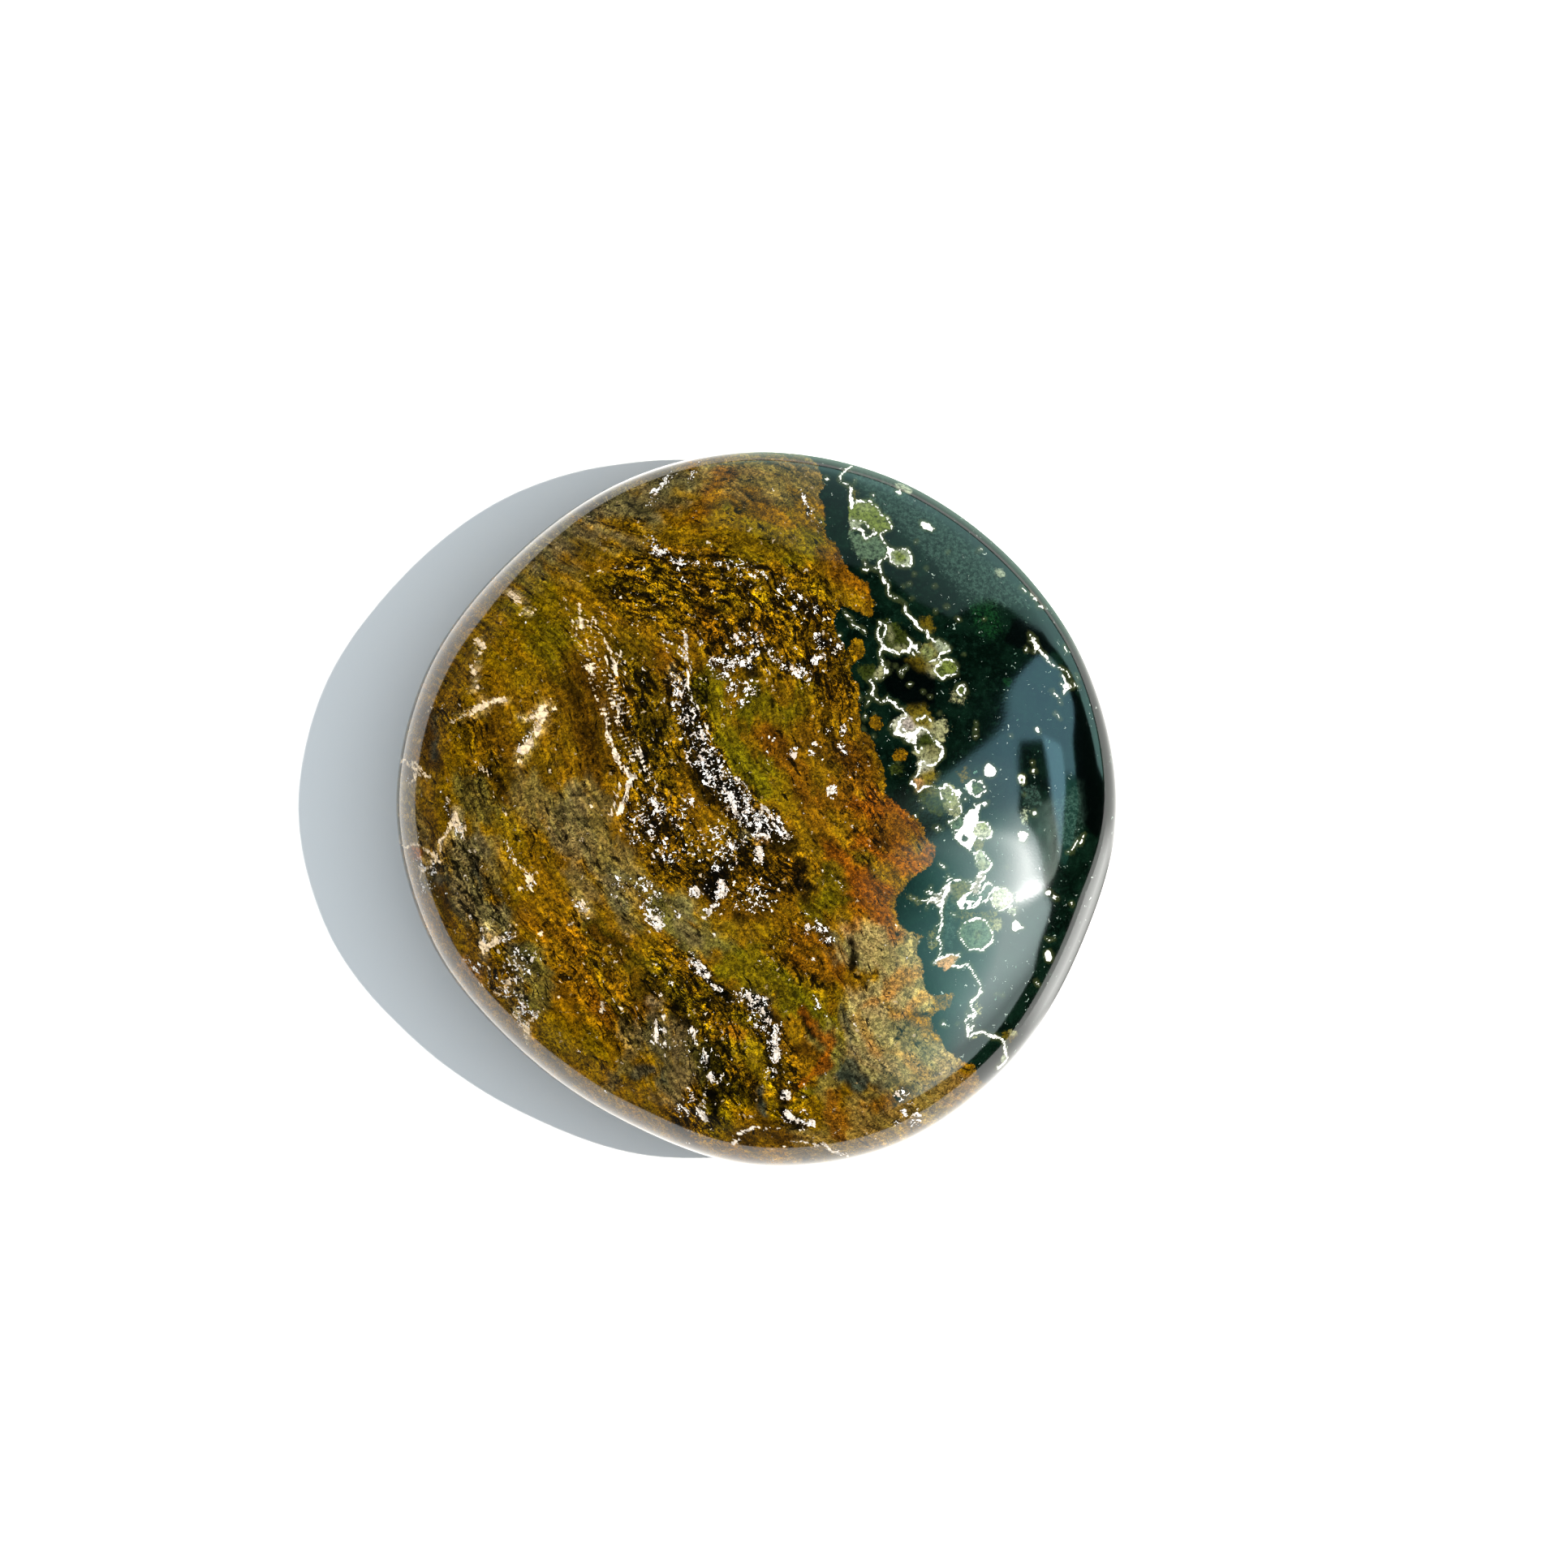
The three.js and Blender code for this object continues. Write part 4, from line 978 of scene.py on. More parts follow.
# In the green rock the vein and the walls crinkle by crinkle_squares, in waves of crinkle_mm.
crinkle_mm = 0.42
crinkle_squares = 1.7
vein_fray = 0.10
wiggle = np.column_stack([cloud(place_mm, crinkle_mm, 25), cloud(place_mm, crinkle_mm, 26)])
wiggle *= crinkle_squares * step_up(green_depth, -2, 4)[:, None]
crinkled = chart + vein_fray * fray + wiggle
wall_courses = [(half_width, closed(ring)) for half_width, ring in orb_walls]
dot_courses = [(radius, [(x, y)]) for x, y, radius in white_dots]
for half_width, course in vein_courses + wall_courses + dot_courses:
    gap = gap_to(course, crinkled, farthest_gap + half_width)
    white_gap = np.minimum(white_gap, gap - half_width)
for ring in white_patches:
    white_gap = np.minimum(white_gap, -depth_in(ring, crinkled, farthest_gap))
for x, y, radius in pits:
    white_gap = np.maximum(white_gap, radius - gap_to([(x, y)], crinkled, farthest_gap + radius))

# Orbs of the underside and the sides lie at random places, each a ball of 0.5 to 1.3 mm radius.
orb_random = np.random.default_rng(5)
hidden_count = 26
hidden_wall = 1.8
hidden = np.flatnonzero((place_mm[:, 2] < 8) & (greenness > 0.9))
hidden_orbs = place_mm[orb_random.choice(hidden, hidden_count)]
hidden_radii = orb_random.uniform(0.5, 1.3, hidden_count) / square_mm
orb_heart = np.full(len(chart), -farthest_gap)
for middle, radius in zip(hidden_orbs, hidden_radii):
    gap = np.linalg.norm(place_mm - middle, axis=1) / square_mm + fray[:, 0] * 0.2
    orb_heart = np.maximum(orb_heart, np.clip(radius - gap, -farthest_gap, farthest_gap))
    wall_gap = np.abs(gap - radius) - hidden_wall
    white_gap = np.minimum(white_gap, np.clip(wall_gap, -farthest_gap, farthest_gap))
keep("white_gap", "FLOAT", "value", white_gap * square_mm)


# ---------------------------------------------------------------------------------------------
# Colour in the green rock: the orbs' hearts, and the milky halos and stained pockets beside the
# vein. A broad band along the top rim is painted reflection: the grey-green haze that the polish
# mirrors there. Each fill is a colour, how soft its edge is, how strong it is, and its outline.
# ---------------------------------------------------------------------------------------------
heart_and_haze_colours = {
    "olive": "#76843a", "dark_olive": "#56642c", "pale": "#b3bd9c", "cream": "#dadcba",
    "smoke": "#5c7257", "bark": "#6d6834", "peach": "#d9a468", "amber": "#67570f", "gold": "#857420",
    "milk": "#cdccb0", "moss": "#363f12", "teal": "#3b574c", "leaf": "#12391c", "mist_and_rim_haze": "#30463c",
    "lime": "#9aa768", "sand": "#a9a878", "rose": "#beb1a4", "ink": "#010302",
}
heart_and_haze_fills = [
    ("ink", 6, 1.0, [(1322, 852), (1338, 882), (1348, 920), (1356, 955), (1362, 1000), (1352, 1030),
        (1335, 1010), (1328, 950), (1324, 900)]),
    ("ink", 10, 0.9, [(1250, 765), (1290, 772), (1300, 800), (1280, 812), (1262, 800), (1240, 790)]),
    ("ink", 8, 0.95, [(1092, 812), (1130, 816), (1150, 836), (1150, 866), (1120, 868), (1094, 850)]),
    ("mist_and_rim_haze", 10, 0.5, [(1300, 990), (1328, 965), (1332, 1000), (1330, 1045), (1308, 1040)]),
    # Painted reflection: this broad band along the top rim is the grey-green haze that the polish
    # mirrors there.
    ("mist_and_rim_haze", 14, 0.55, [(1040, 575), (1090, 590), (1180, 660), (1270, 745), (1235, 745), (1190, 735),
        (1150, 690), (1100, 640), (1060, 600)]),
    ("olive", 3, 0.95, [(1046, 622), (1054, 619), (1071, 617), (1079, 623), (1085, 635), (1094, 638),
        (1097, 647), (1092, 654), (1080, 657), (1066, 645), (1057, 642), (1046, 640)]),
    ("lime", 4, 0.6, [(1054, 620), (1070, 619), (1074, 628), (1060, 630)]),
    ("pale", 3, 0.9, [(1047, 640), (1056, 642), (1062, 648), (1056, 651), (1048, 650)]),
    ("smoke", 8, 0.8, [(1048, 656), (1064, 662), (1084, 664), (1094, 676), (1085, 690), (1066, 688),
        (1052, 676)]),
    ("pale", 2, 0.9, [(1098, 678), (1120, 678), (1124, 688), (1119, 698), (1104, 696), (1096, 687)]),
    ("olive", 3, 1.0, [(1101, 682), (1108, 679), (1115, 683), (1117, 689), (1112, 693), (1104, 691)]),
    ("pale", 4, 0.95, [(1150, 792), (1156, 789), (1164, 792), (1169, 796), (1168, 803), (1159, 803),
        (1152, 800)]),
    ("bark", 4, 0.8, [(1133, 804), (1138, 796), (1147, 792), (1154, 800), (1156, 808), (1150, 813),
        (1142, 814)]),
    ("lime", 4, 0.6, [(1136, 803), (1142, 797), (1150, 803), (1146, 811)]),
    ("olive", 3, 0.95, [(1156, 821), (1158, 815), (1166, 812), (1175, 816), (1179, 824), (1170, 832),
        (1160, 834), (1153, 827)]),
    ("dark_olive", 2, 0.9, [(1154, 823), (1162, 824), (1164, 832), (1157, 833)]),
    ("sand", 6, 0.75, [(1144, 818), (1156, 813), (1152, 822), (1152, 832), (1146, 828)]),
    ("sand", 7, 0.55, [(1174, 852), (1180, 860), (1190, 860), (1184, 866), (1172, 862)]),
    ("dark_olive", 2, 0.95, [(1180, 848), (1186, 846), (1188, 853), (1183, 856)]),
    ("amber", 8, 0.8, [(1134, 764), (1145, 762), (1150, 776), (1144, 778), (1136, 772)]),
    ("amber", 9, 0.7, [(1128, 808), (1140, 816), (1148, 822), (1136, 824), (1122, 812)]),
    ("moss", 10, 0.9, [(1094, 766), (1112, 778), (1118, 795), (1104, 802), (1094, 796)]),
    ("sand", 4, 0.5, [(1096, 772), (1100, 780), (1099, 792), (1095, 788)]),
    ("sand", 4, 0.7, [(1103, 798), (1114, 797), (1118, 801), (1105, 804)]),
    ("moss", 8, 0.95, [(1060, 822), (1076, 820), (1078, 834), (1066, 836)]),
    ("sand", 3, 0.85, [(1081, 822), (1086, 818), (1090, 830), (1087, 835), (1077, 835)]),
    ("leaf", 12, 0.5, [(1196, 745), (1222, 742), (1234, 770), (1222, 788), (1206, 778)]),
    ("milk", 4, 0.8, [(1105, 884), (1114, 881), (1124, 886), (1126, 896), (1140, 895), (1150, 900),
        (1136, 904), (1126, 912), (1112, 908), (1102, 903), (1100, 890)]),
    ("rose", 3, 0.95, [(1111, 886), (1122, 884), (1127, 892), (1125, 900), (1114, 901), (1110, 893)]),
    ("gold", 6, 0.9, [(1124, 884), (1136, 878), (1147, 886), (1153, 898), (1146, 900), (1136, 894),
        (1127, 892)]),
    ("gold", 7, 0.7, [(1122, 878), (1132, 873), (1142, 880), (1130, 884)]),
    ("sand", 9, 0.8, [(1150, 892), (1162, 888), (1166, 900), (1160, 912), (1152, 906)]),
    ("amber", 9, 0.7, [(1118, 874), (1136, 872), (1146, 880), (1130, 882)]),
    ("moss", 4, 0.95, [(1133, 910), (1140, 905), (1150, 912), (1152, 920), (1138, 922)]),
    ("sand", 6, 0.9, [(1128, 926), (1140, 922), (1157, 920), (1158, 932), (1149, 943), (1138, 938)]),
    ("bark", 5, 0.6, [(1142, 920), (1156, 918), (1158, 930), (1146, 932)]),
    ("milk", 5, 0.9, [(1134, 938), (1144, 940), (1148, 948), (1138, 954), (1132, 950)]),
    ("gold", 7, 0.95, [(1136, 952), (1148, 948), (1152, 958), (1144, 966), (1132, 968)]),
    ("peach", 5, 0.8, [(1126, 962), (1134, 960), (1138, 968), (1131, 974)]),
    ("moss", 8, 0.95, [(1134, 976), (1142, 970), (1164, 972), (1168, 990), (1160, 1004), (1146, 998)]),
    ("bark", 5, 0.7, [(1142, 970), (1152, 971), (1154, 978), (1146, 978)]),
    ("sand", 5, 0.9, [(1160, 974), (1168, 967), (1174, 970), (1180, 984), (1184, 996), (1180, 1007),
        (1172, 1003), (1166, 988)]),
    ("lime", 5, 0.5, [(1164, 976), (1174, 974), (1178, 990), (1168, 992)]),
    ("smoke", 4, 0.9, [(1172, 1012), (1184, 1008), (1186, 1016), (1180, 1021), (1174, 1020)]),
    ("amber", 8, 0.6, [(1182, 952), (1192, 948), (1194, 958), (1186, 962)]),
    ("smoke", 2, 0.9, [(1196, 966), (1208, 965), (1210, 974), (1202, 978), (1196, 974)]),
    ("dark_olive", 4, 0.7, [(1200, 967), (1208, 968), (1206, 976), (1200, 975)]),
    ("cream", 2, 1.0, [(1200, 1016), (1210, 1013), (1218, 1018), (1221, 1026), (1212, 1034),
        (1200, 1029)]),
    ("lime", 4, 0.9, [(1206, 1018), (1210, 1013), (1216, 1018), (1212, 1024)]),
    ("bark", 4, 0.9, [(1199, 1040), (1205, 1035), (1212, 1038), (1211, 1045), (1204, 1048)]),
    ("pale", 4, 0.85, [(1204, 1056), (1210, 1050), (1215, 1058), (1219, 1067), (1211, 1073),
        (1204, 1066)]),
    ("bark", 4, 0.6, [(1206, 1062), (1214, 1062), (1214, 1070), (1208, 1070)]),
    ("bark", 7, 0.85, [(1172, 1088), (1194, 1088), (1196, 1096), (1186, 1100), (1174, 1108),
        (1172, 1098)]),
    ("rose", 3, 0.9, [(1168, 1092), (1170, 1098), (1163, 1108), (1161, 1118), (1152, 1112),
        (1144, 1110), (1150, 1104), (1158, 1102), (1162, 1094)]),
    ("rose", 2, 0.9, [(1205, 1078), (1212, 1077), (1208, 1090), (1206, 1098), (1199, 1098),
        (1202, 1086)]),
    ("teal", 2, 1.0, [(1209, 1097), (1213, 1091), (1218, 1089), (1223, 1093), (1218, 1101),
        (1214, 1111), (1209, 1106)]),
    ("mist_and_rim_haze", 8, 0.5, [(1168, 1094), (1175, 1100), (1176, 1140), (1172, 1170), (1163, 1160),
        (1163, 1120)]),
    ("bark", 5, 0.5, [(1114, 1100), (1130, 1108), (1140, 1112), (1130, 1114)]),
    ("teal", 2, 0.9, [(1190, 1106), (1196, 1103), (1206, 1105), (1204, 1111), (1192, 1110)]),
    ("cream", 2, 1.0, [(1224, 1098), (1236, 1094), (1245, 1101), (1246, 1110), (1235, 1121),
        (1222, 1113)]),
    ("pale", 3, 0.9, [(1230, 1096), (1240, 1097), (1238, 1105), (1231, 1104)]),
    ("pale", 2, 0.9, [(1245, 1118), (1252, 1120), (1250, 1127), (1244, 1124)]),
    ("cream", 4, 0.8, [(1250, 1100), (1260, 1099), (1262, 1107), (1253, 1110)]),
    ("bark", 9, 0.5, [(1180, 1122), (1200, 1124), (1226, 1122), (1234, 1140), (1224, 1142),
        (1204, 1128), (1184, 1134)]),
    ("sand", 6, 0.45, [(1222, 1132), (1234, 1134), (1232, 1148), (1224, 1146)]),
    ("smoke", 2, 0.95, [(1184, 1142), (1196, 1134), (1212, 1134), (1221, 1148), (1220, 1162),
        (1206, 1170), (1190, 1166), (1183, 1152)]),
    ("bark", 4, 0.5, [(1202, 1148), (1208, 1148), (1207, 1158), (1202, 1157)]),
    ("peach", 1.5, 1.0, [(1150, 1185), (1156, 1181), (1168, 1178), (1181, 1178), (1175, 1188),
        (1168, 1192), (1164, 1196), (1161, 1190), (1155, 1188)]),
    ("bark", 7, 0.6, [(1144, 1150), (1152, 1148), (1154, 1164), (1146, 1168)]),
    ("sand", 5, 0.5, [(1204, 1234), (1210, 1240), (1208, 1252), (1204, 1250)]),
    ("amber", 5, 0.9, [(1236, 1276), (1244, 1270), (1250, 1276), (1244, 1284)]),
    ("sand", 3, 0.9, [(1246, 1270), (1252, 1271), (1249, 1276), (1245, 1276)]),
    ("sand", 4, 0.5, [(1196, 1276), (1206, 1273), (1204, 1278), (1198, 1280)]),
    ("pale", 3, 0.7, [(1234, 1300), (1240, 1300), (1240, 1308), (1234, 1310)]),
    ("pale", 2, 0.8, [(1101, 598), (1109, 596), (1119, 601), (1124, 605), (1120, 607), (1112, 603)]),
    ("leaf", 4, 0.8, [(1236, 838), (1243, 836), (1246, 841), (1240, 845)]),
    ("pale", 5, 0.5, [(1229, 704), (1235, 703), (1238, 708), (1231, 709)]),
    ("pale", 6, 0.5, [(1256, 1000), (1266, 998), (1267, 1013), (1260, 1016)]),
    ("mist_and_rim_haze", 6, 0.7, [(1258, 972), (1278, 968), (1282, 990), (1266, 994)]),
    ("lime", 3, 0.7, [(1254, 956), (1258, 953), (1263, 958), (1260, 965)]),
    ("moss", 8, 0.6, [(1098, 944), (1110, 940), (1114, 950), (1102, 954)]),
    ("amber", 6, 0.5, [(1048, 598), (1054, 606), (1056, 616), (1052, 614)]),
]
fill_colour = np.tile(linear(heart_and_haze_colours["mist_and_rim_haze"]), (len(chart), 1))
fill_share = np.zeros(len(chart))
# The fills are worked out up to fill_reach squares from their outlines, and they end on the stone's
# side between two heights.
fill_reach = 18
fills_end_mm = (4, 7)
for colour, softness, strength, ring in heart_and_haze_fills:
    cover = strength * step_up(depth_in(ring, crinkled, fill_reach), -softness, softness * 0.5)
    cover *= step_up(place_mm[:, 2], *fills_end_mm)
    fill_share = fill_share + cover * (1 - fill_share)
    part = (cover / np.maximum(fill_share, 1e-6))[:, None]
    fill_colour += part * (linear(heart_and_haze_colours[colour]) - fill_colour)
heart_cover = step_up(orb_heart, -0.5, 0.5)
fill_colour += heart_cover[:, None] * (linear(heart_and_haze_colours["olive"]) - fill_colour)
fill_share = np.maximum(fill_share, heart_cover)
keep("fill_colour", "FLOAT_COLOR", "color", np.column_stack([fill_colour, np.ones(len(chart))]))
keep("fill_share", "FLOAT", "value", fill_share)


# ---------------------------------------------------------------------------------------------
# Polished jasper. Chalcedony takes a glassy polish, so the eye sees deep, saturated colour under
# a clear sharp reflection, with a faint haze round highlights from the last polishing scratches.
# ---------------------------------------------------------------------------------------------
def add(tree, kind, inputs, **settings):
    """Adds one node. inputs gives each named socket a value, another node's output, or another
    node, which then stands for the first of its outputs in use."""
    made = tree.nodes.new("ShaderNode" + kind)
    for name, value in settings.items():
        setattr(made, name, value)
    for socket, value in inputs.items():
        if isinstance(value, bpy.types.Node):
            value = next(output for output in value.outputs if output.enabled)
        if isinstance(value, bpy.types.NodeSocket):
            tree.links.new(value, made.inputs[socket])
        else:
            made.inputs[socket].default_value = value
    return made


def rgba(hex_colour):
    """sRGB hex to the linear red, green, blue and alpha that a socket takes."""
    return (*linear(hex_colour), 1.0)


def bare_material(name):
    """A new material with no nodes yet, and its node tree."""
    material = bpy.data.materials.new(name)
    material.use_nodes = True
    material.node_tree.nodes.clear()
    return material, material.node_tree


jasper, tree = bare_material("polished_ocean_jasper")
in_mm = add(tree, "VectorMath", {
    0: add(tree, "TexCoord", {}).outputs["Object"], 1: (1000, 1000, 1000),
}, operation="MULTIPLY")
along_flow, ground = (
    add(tree, "Attribute", {}, attribute_name=name).outputs[output]
    for name, output in (("flow", "Vector"), ("rock_and_rim_haze_colour", "Color"))
)
gritty, calm, crumbly, green_depth_mm, white_gap_mm, heart_and_haze_share = (
    add(tree, "Attribute", {}, attribute_name=name).outputs["Fac"]
    for name in ("grit", "calm", "crumbs", "green_depth", "white_gap", "fill_share")
)
along_strands = add(tree, "VectorMath", {0: along_flow, 1: (1.0, 0.35, 0.35)}, operation="MULTIPLY")

# Every noise in the rock: what it follows, its swings per millimetre, its detail, its roughness
# and its distortion.
noises = {
    "streaks": (along_flow, 0.95, 7.0, 0.68, 0.35),
    "strands": (along_strands, 2.6, 4.0, 0.65, 0.15),
    "hues": (along_flow, 0.6, 5.0, 0.7, 0.0),
    "salt": (in_mm, 2.5, 2.5, 0.6, 0.6),
    "gaps": (along_flow, 2.3, 5.0, 0.7, 0.5),
    "clumps": (in_mm, 1.3, 3.0, 0.6, 0.0),
    "wisps": (in_mm, 0.42, 6.0, 0.6, 0.5),
    "mottle": (in_mm, 2.4, 4.0, 0.7, 0.0),
    "frayed_edge": (in_mm, 3.2, 4.0, 0.6, 0.0),
    "heart_and_haze_clouds": (in_mm, 3.2, 4.0, 0.8, 0.0),
    "crumble": (in_mm, 5.0, 4.0, 0.65, 0.0),
    "fibres": (along_flow, 3.8, 3.0, 0.7, 0.0),
}
for name, (place, per_mm, detail, roughness, distortion) in noises.items():
    noises[name] = add(tree, "TexNoise", {
        "Vector": place, "Scale": per_mm, "Detail": detail, "Roughness": roughness,
        "Distortion": distortion,
    })

# Places that a noise pushes about, so that no grain or crumb has straight sides: what is pushed,
# the noise's swings per millimetre and its detail, and how far it pushes in millimetres.
pushed = {
    "grain": (in_mm, 3.0, 2.0, 1.0),
    "fleck": (in_mm, 3.3, 3.0, 1.0),
    "crumb": (in_mm, 2.6, 3.0, 1.1),
    "sliver": (along_flow, 2.6, 3.0, 0.6),
    "speck": (in_mm, 4.0, 2.0, 1.0),
}
for name, (place, per_mm, detail, push_mm) in pushed.items():
    push = add(tree, "TexNoise", {"Vector": in_mm, "Scale": per_mm, "Detail": detail})
    pushed[name] = add(tree, "VectorMath", {
        0: place,
        1: add(tree, "VectorMath", {0: push.outputs["Color"], "Scale": push_mm}, operation="SCALE"),
    }, operation="ADD")

# Levels that change from even rock to rock full of grit.
levels = {
    "streak_dark": (0.56, 0.18), "streak_light": (1.5, 1.85),
    "salt_dark": (0.68, 0.24), "salt_light": (1.34, 1.65),
    "pepper_dark": (0.50, 0.06), "pepper_light": (1.5, 2.0),
    "rarest_fleck": (0.93, 0.62),
}
for name, (even, full) in levels.items():
    levels[name] = add(tree, "MapRange", {"Value": gritty, "To Min": even, "To Max": full})

# Clouds drawn out along the flow shift the stain between dark, its own colour and bright gold,
# and thinner strands run far along the flow, like the grain of wood.
streak_gain = add(tree, "MapRange", {
    "Value": noises["streaks"], "From Min": 0.38, "From Max": 0.64,
    "To Min": levels["streak_dark"], "To Max": levels["streak_light"],
})
strand_gain = add(tree, "MapRange", {
    "Value": noises["strands"], "From Min": 0.38, "From Max": 0.62, "To Min": 0.64, "To Max": 1.38,
})
flow_gain = add(tree, "Math", {0: streak_gain, 1: strand_gain}, operation="MULTIPLY")
streaked = add(tree, "VectorMath", {
    0: ground, "Scale": add(tree, "Mix", {0: calm, 2: flow_gain, 3: 1.0}),
}, operation="SCALE")

# The hue wanders between a greener and a redder iron stain over one or two millimetres.
redder = add(tree, "MapRange", {
    "Value": noises["hues"], "From Min": 0.4, "From Max": 0.6,
}, interpolation_type="SMOOTHSTEP")
hue_tint = add(tree, "Mix", {
    0: redder, 6: (0.97, 1.02, 0.50, 1), 7: (1.09, 0.99, 0.54, 1),
}, data_type="RGBA")
tinted = add(tree, "VectorMath", {0: streaked, 1: hue_tint}, operation="MULTIPLY")

# Each grain, about 0.3 mm wide, has a tone of its own, and fine salt and pepper lie over all.
grain = add(tree, "TexVoronoi", {"Vector": pushed["grain"], "Scale": 3.0}).outputs["Color"]
grain_swing = add(tree, "MapRange", {
    "Value": add(tree, "SeparateColor", {0: grain}), "To Min": -0.75, "To Max": 0.85,
})
grain_share = add(tree, "Math", {0: gritty, 1: 0.85}, operation="MULTIPLY")
grain_gain = add(tree, "Math", {0: grain_swing, 1: grain_share, 2: 1.0}, operation="MULTIPLY_ADD")
salt_gain = add(tree, "MapRange", {
    "Value": noises["salt"], "From Min": 0.40, "From Max": 0.60,
    "To Min": levels["salt_dark"], "To Max": levels["salt_light"],
})
pepper = add(tree, "TexVoronoi", {"Vector": pushed["grain"], "Scale": 6.2}).outputs["Color"]
pepper_gain = add(tree, "MapRange", {
    "Value": add(tree, "SeparateColor", {0: pepper}), "From Min": 0.1, "From Max": 0.9,
    "To Min": levels["pepper_dark"], "To Max": levels["pepper_light"],
})
speckled_gain = add(tree, "Math", {0: salt_gain, 1: pepper_gain}, operation="MULTIPLY")
grained = add(tree, "VectorMath", {
    0: tinted, "Scale": add(tree, "Math", {0: grain_gain, 1: speckled_gain}, operation="MULTIPLY"),
}, operation="SCALE")

# Black manganese oxide lies between the grains, most of it where the rock is gritty.
gap_level = add(tree, "MapRange", {
    "Value": gritty, "From Min": 0.1, "From Max": 1.0, "To Min": 0.62, "To Max": 0.50,
})
gap_share = add(tree, "MapRange", {
    "Value": add(tree, "Math", {0: noises["gaps"], 1: gap_level}, operation="SUBTRACT"),
    "From Min": -0.015, "From Max": 0.03, "To Max": 0.93,
}, interpolation_type="SMOOTHSTEP")
blackened = add(tree, "Mix", {0: gap_share, 6: grained, 7: rgba("#0b0702")}, data_type="RGBA")

# Pale flecks, up to 0.3 mm, are strewn through all of it, more of them where it is gritty.
fleck = add(tree, "TexVoronoi", {"Vector": pushed["fleck"], "Scale": 2.1})
fleck_tone = add(tree, "SeparateColor", {0: fleck.outputs["Color"]})
fleck_size = add(tree, "MapRange", {
    "Value": fleck_tone, "From Min": levels["rarest_fleck"], "From Max": 1.0, "To Max": 0.36,
})
fleck_share = add(tree, "MapRange", {
    "Value": add(tree, "Math", {0: fleck_size, 1: fleck}, operation="SUBTRACT"),
    "From Min": 0.0, "From Max": 0.08, "To Max": 0.9,
}, interpolation_type="SMOOTHSTEP")
whiteness = add(tree, "Math", {0: fleck_tone.outputs[1], 1: gritty}, operation="MULTIPLY")
fleck_colour = add(tree, "Mix", {
    0: whiteness, 6: rgba("#a88642"), 7: (1.9, 1.7, 1.45, 1),
}, data_type="RGBA")
flecked = add(tree, "Mix", {0: fleck_share, 6: blackened, 7: fleck_colour}, data_type="RGBA")

# White and pinkish quartz crumbs, 0.2 to 0.6 mm, gather in clumps in dark healed cracks, as
# slivers along the flow and as rounder crumbs.
clump = add(tree, "MapRange", {
    "Value": noises["clumps"], "From Min": 0.40, "From Max": 0.58, "To Min": 0.3, "To Max": 1.05,
})
clumped = add(tree, "Math", {0: crumbly, 1: clump}, operation="MULTIPLY")
crack_share = add(tree, "Math", {0: crumbly, 1: 0.82}, operation="MULTIPLY")
rock_body = add(tree, "Mix", {0: crack_share, 6: flecked, 7: rgba("#120d09")}, data_type="RGBA")
for name, crumbs_per_mm, likelihood in (("sliver", 3.9, 0.36), ("crumb", 4.8, 0.46)):
    crumb_cells = {"Vector": pushed[name], "Scale": crumbs_per_mm}
    crumb = add(tree, "TexVoronoi", crumb_cells).outputs["Color"]
    crumb_tone = add(tree, "SeparateColor", {0: crumb})
    chance = add(tree, "Math", {0: clumped, 1: likelihood}, operation="MULTIPLY")
    chosen = add(tree, "Math", {0: crumb_tone, 1: chance}, operation="LESS_THAN")
    solid = add(tree, "MapRange", {
        "Value": add(tree, "TexVoronoi", crumb_cells, feature="DISTANCE_TO_EDGE"),
        "From Min": 0.02, "From Max": 0.10,
    }, interpolation_type="SMOOTHSTEP")
    quartz = add(tree, "Mix", {
        0: crumb_tone.outputs[1], 6: (1.9, 1.9, 1.85, 1), 7: (1.0, 0.80, 0.64, 1),
    }, data_type="RGBA")
    white_share = add(tree, "Math", {0: chosen, 1: solid}, operation="MULTIPLY")
    rock_body = add(tree, "Mix", {0: white_share, 6: rock_body, 7: quartz}, data_type="RGBA")

# Green chalcedony: nearly black where it is clear and deep, cloudier in wisps, with tiny specks.
wispy = add(tree, "MapRange", {
    "Value": noises["wisps"], "From Min": 0.40, "From Max": 0.68,
}, interpolation_type="SMOOTHSTEP")
mottled = add(tree, "MapRange", {
    "Value": noises["mottle"], "From Min": 0.50, "From Max": 0.72, "To Max": 0.5,
}, interpolation_type="SMOOTHSTEP")
green_body = add(tree, "Mix", {0: wispy, 6: rgba("#020c05"), 7: rgba("#0a2014")}, data_type="RGBA")
green_body = add(tree, "Mix", {0: mottled, 6: green_body, 7: rgba("#1a3a2a")}, data_type="RGBA")
for specks_per_mm, rarest in ((1.1, 0.5), (2.2, 0.6)):
    speck = add(tree, "TexVoronoi", {"Vector": pushed["speck"], "Scale": specks_per_mm})
    speck_tone = add(tree, "SeparateColor", {0: speck.outputs["Color"]})
    speck_size = add(tree, "MapRange", {
        "Value": speck_tone, "From Min": rarest, "From Max": 1.0, "To Max": 0.17,
    })
    speck_share = add(tree, "Math", {0: speck, 1: speck_size}, operation="LESS_THAN")
    speck_colour = add(tree, "Mix", {
        0: speck_tone.outputs[1], 6: (0.9, 1.0, 0.9, 1), 7: rgba("#5d8f76"),
    }, data_type="RGBA")
    green_body = add(tree, "Mix", {0: speck_share, 6: green_body, 7: speck_colour}, data_type="RGBA")

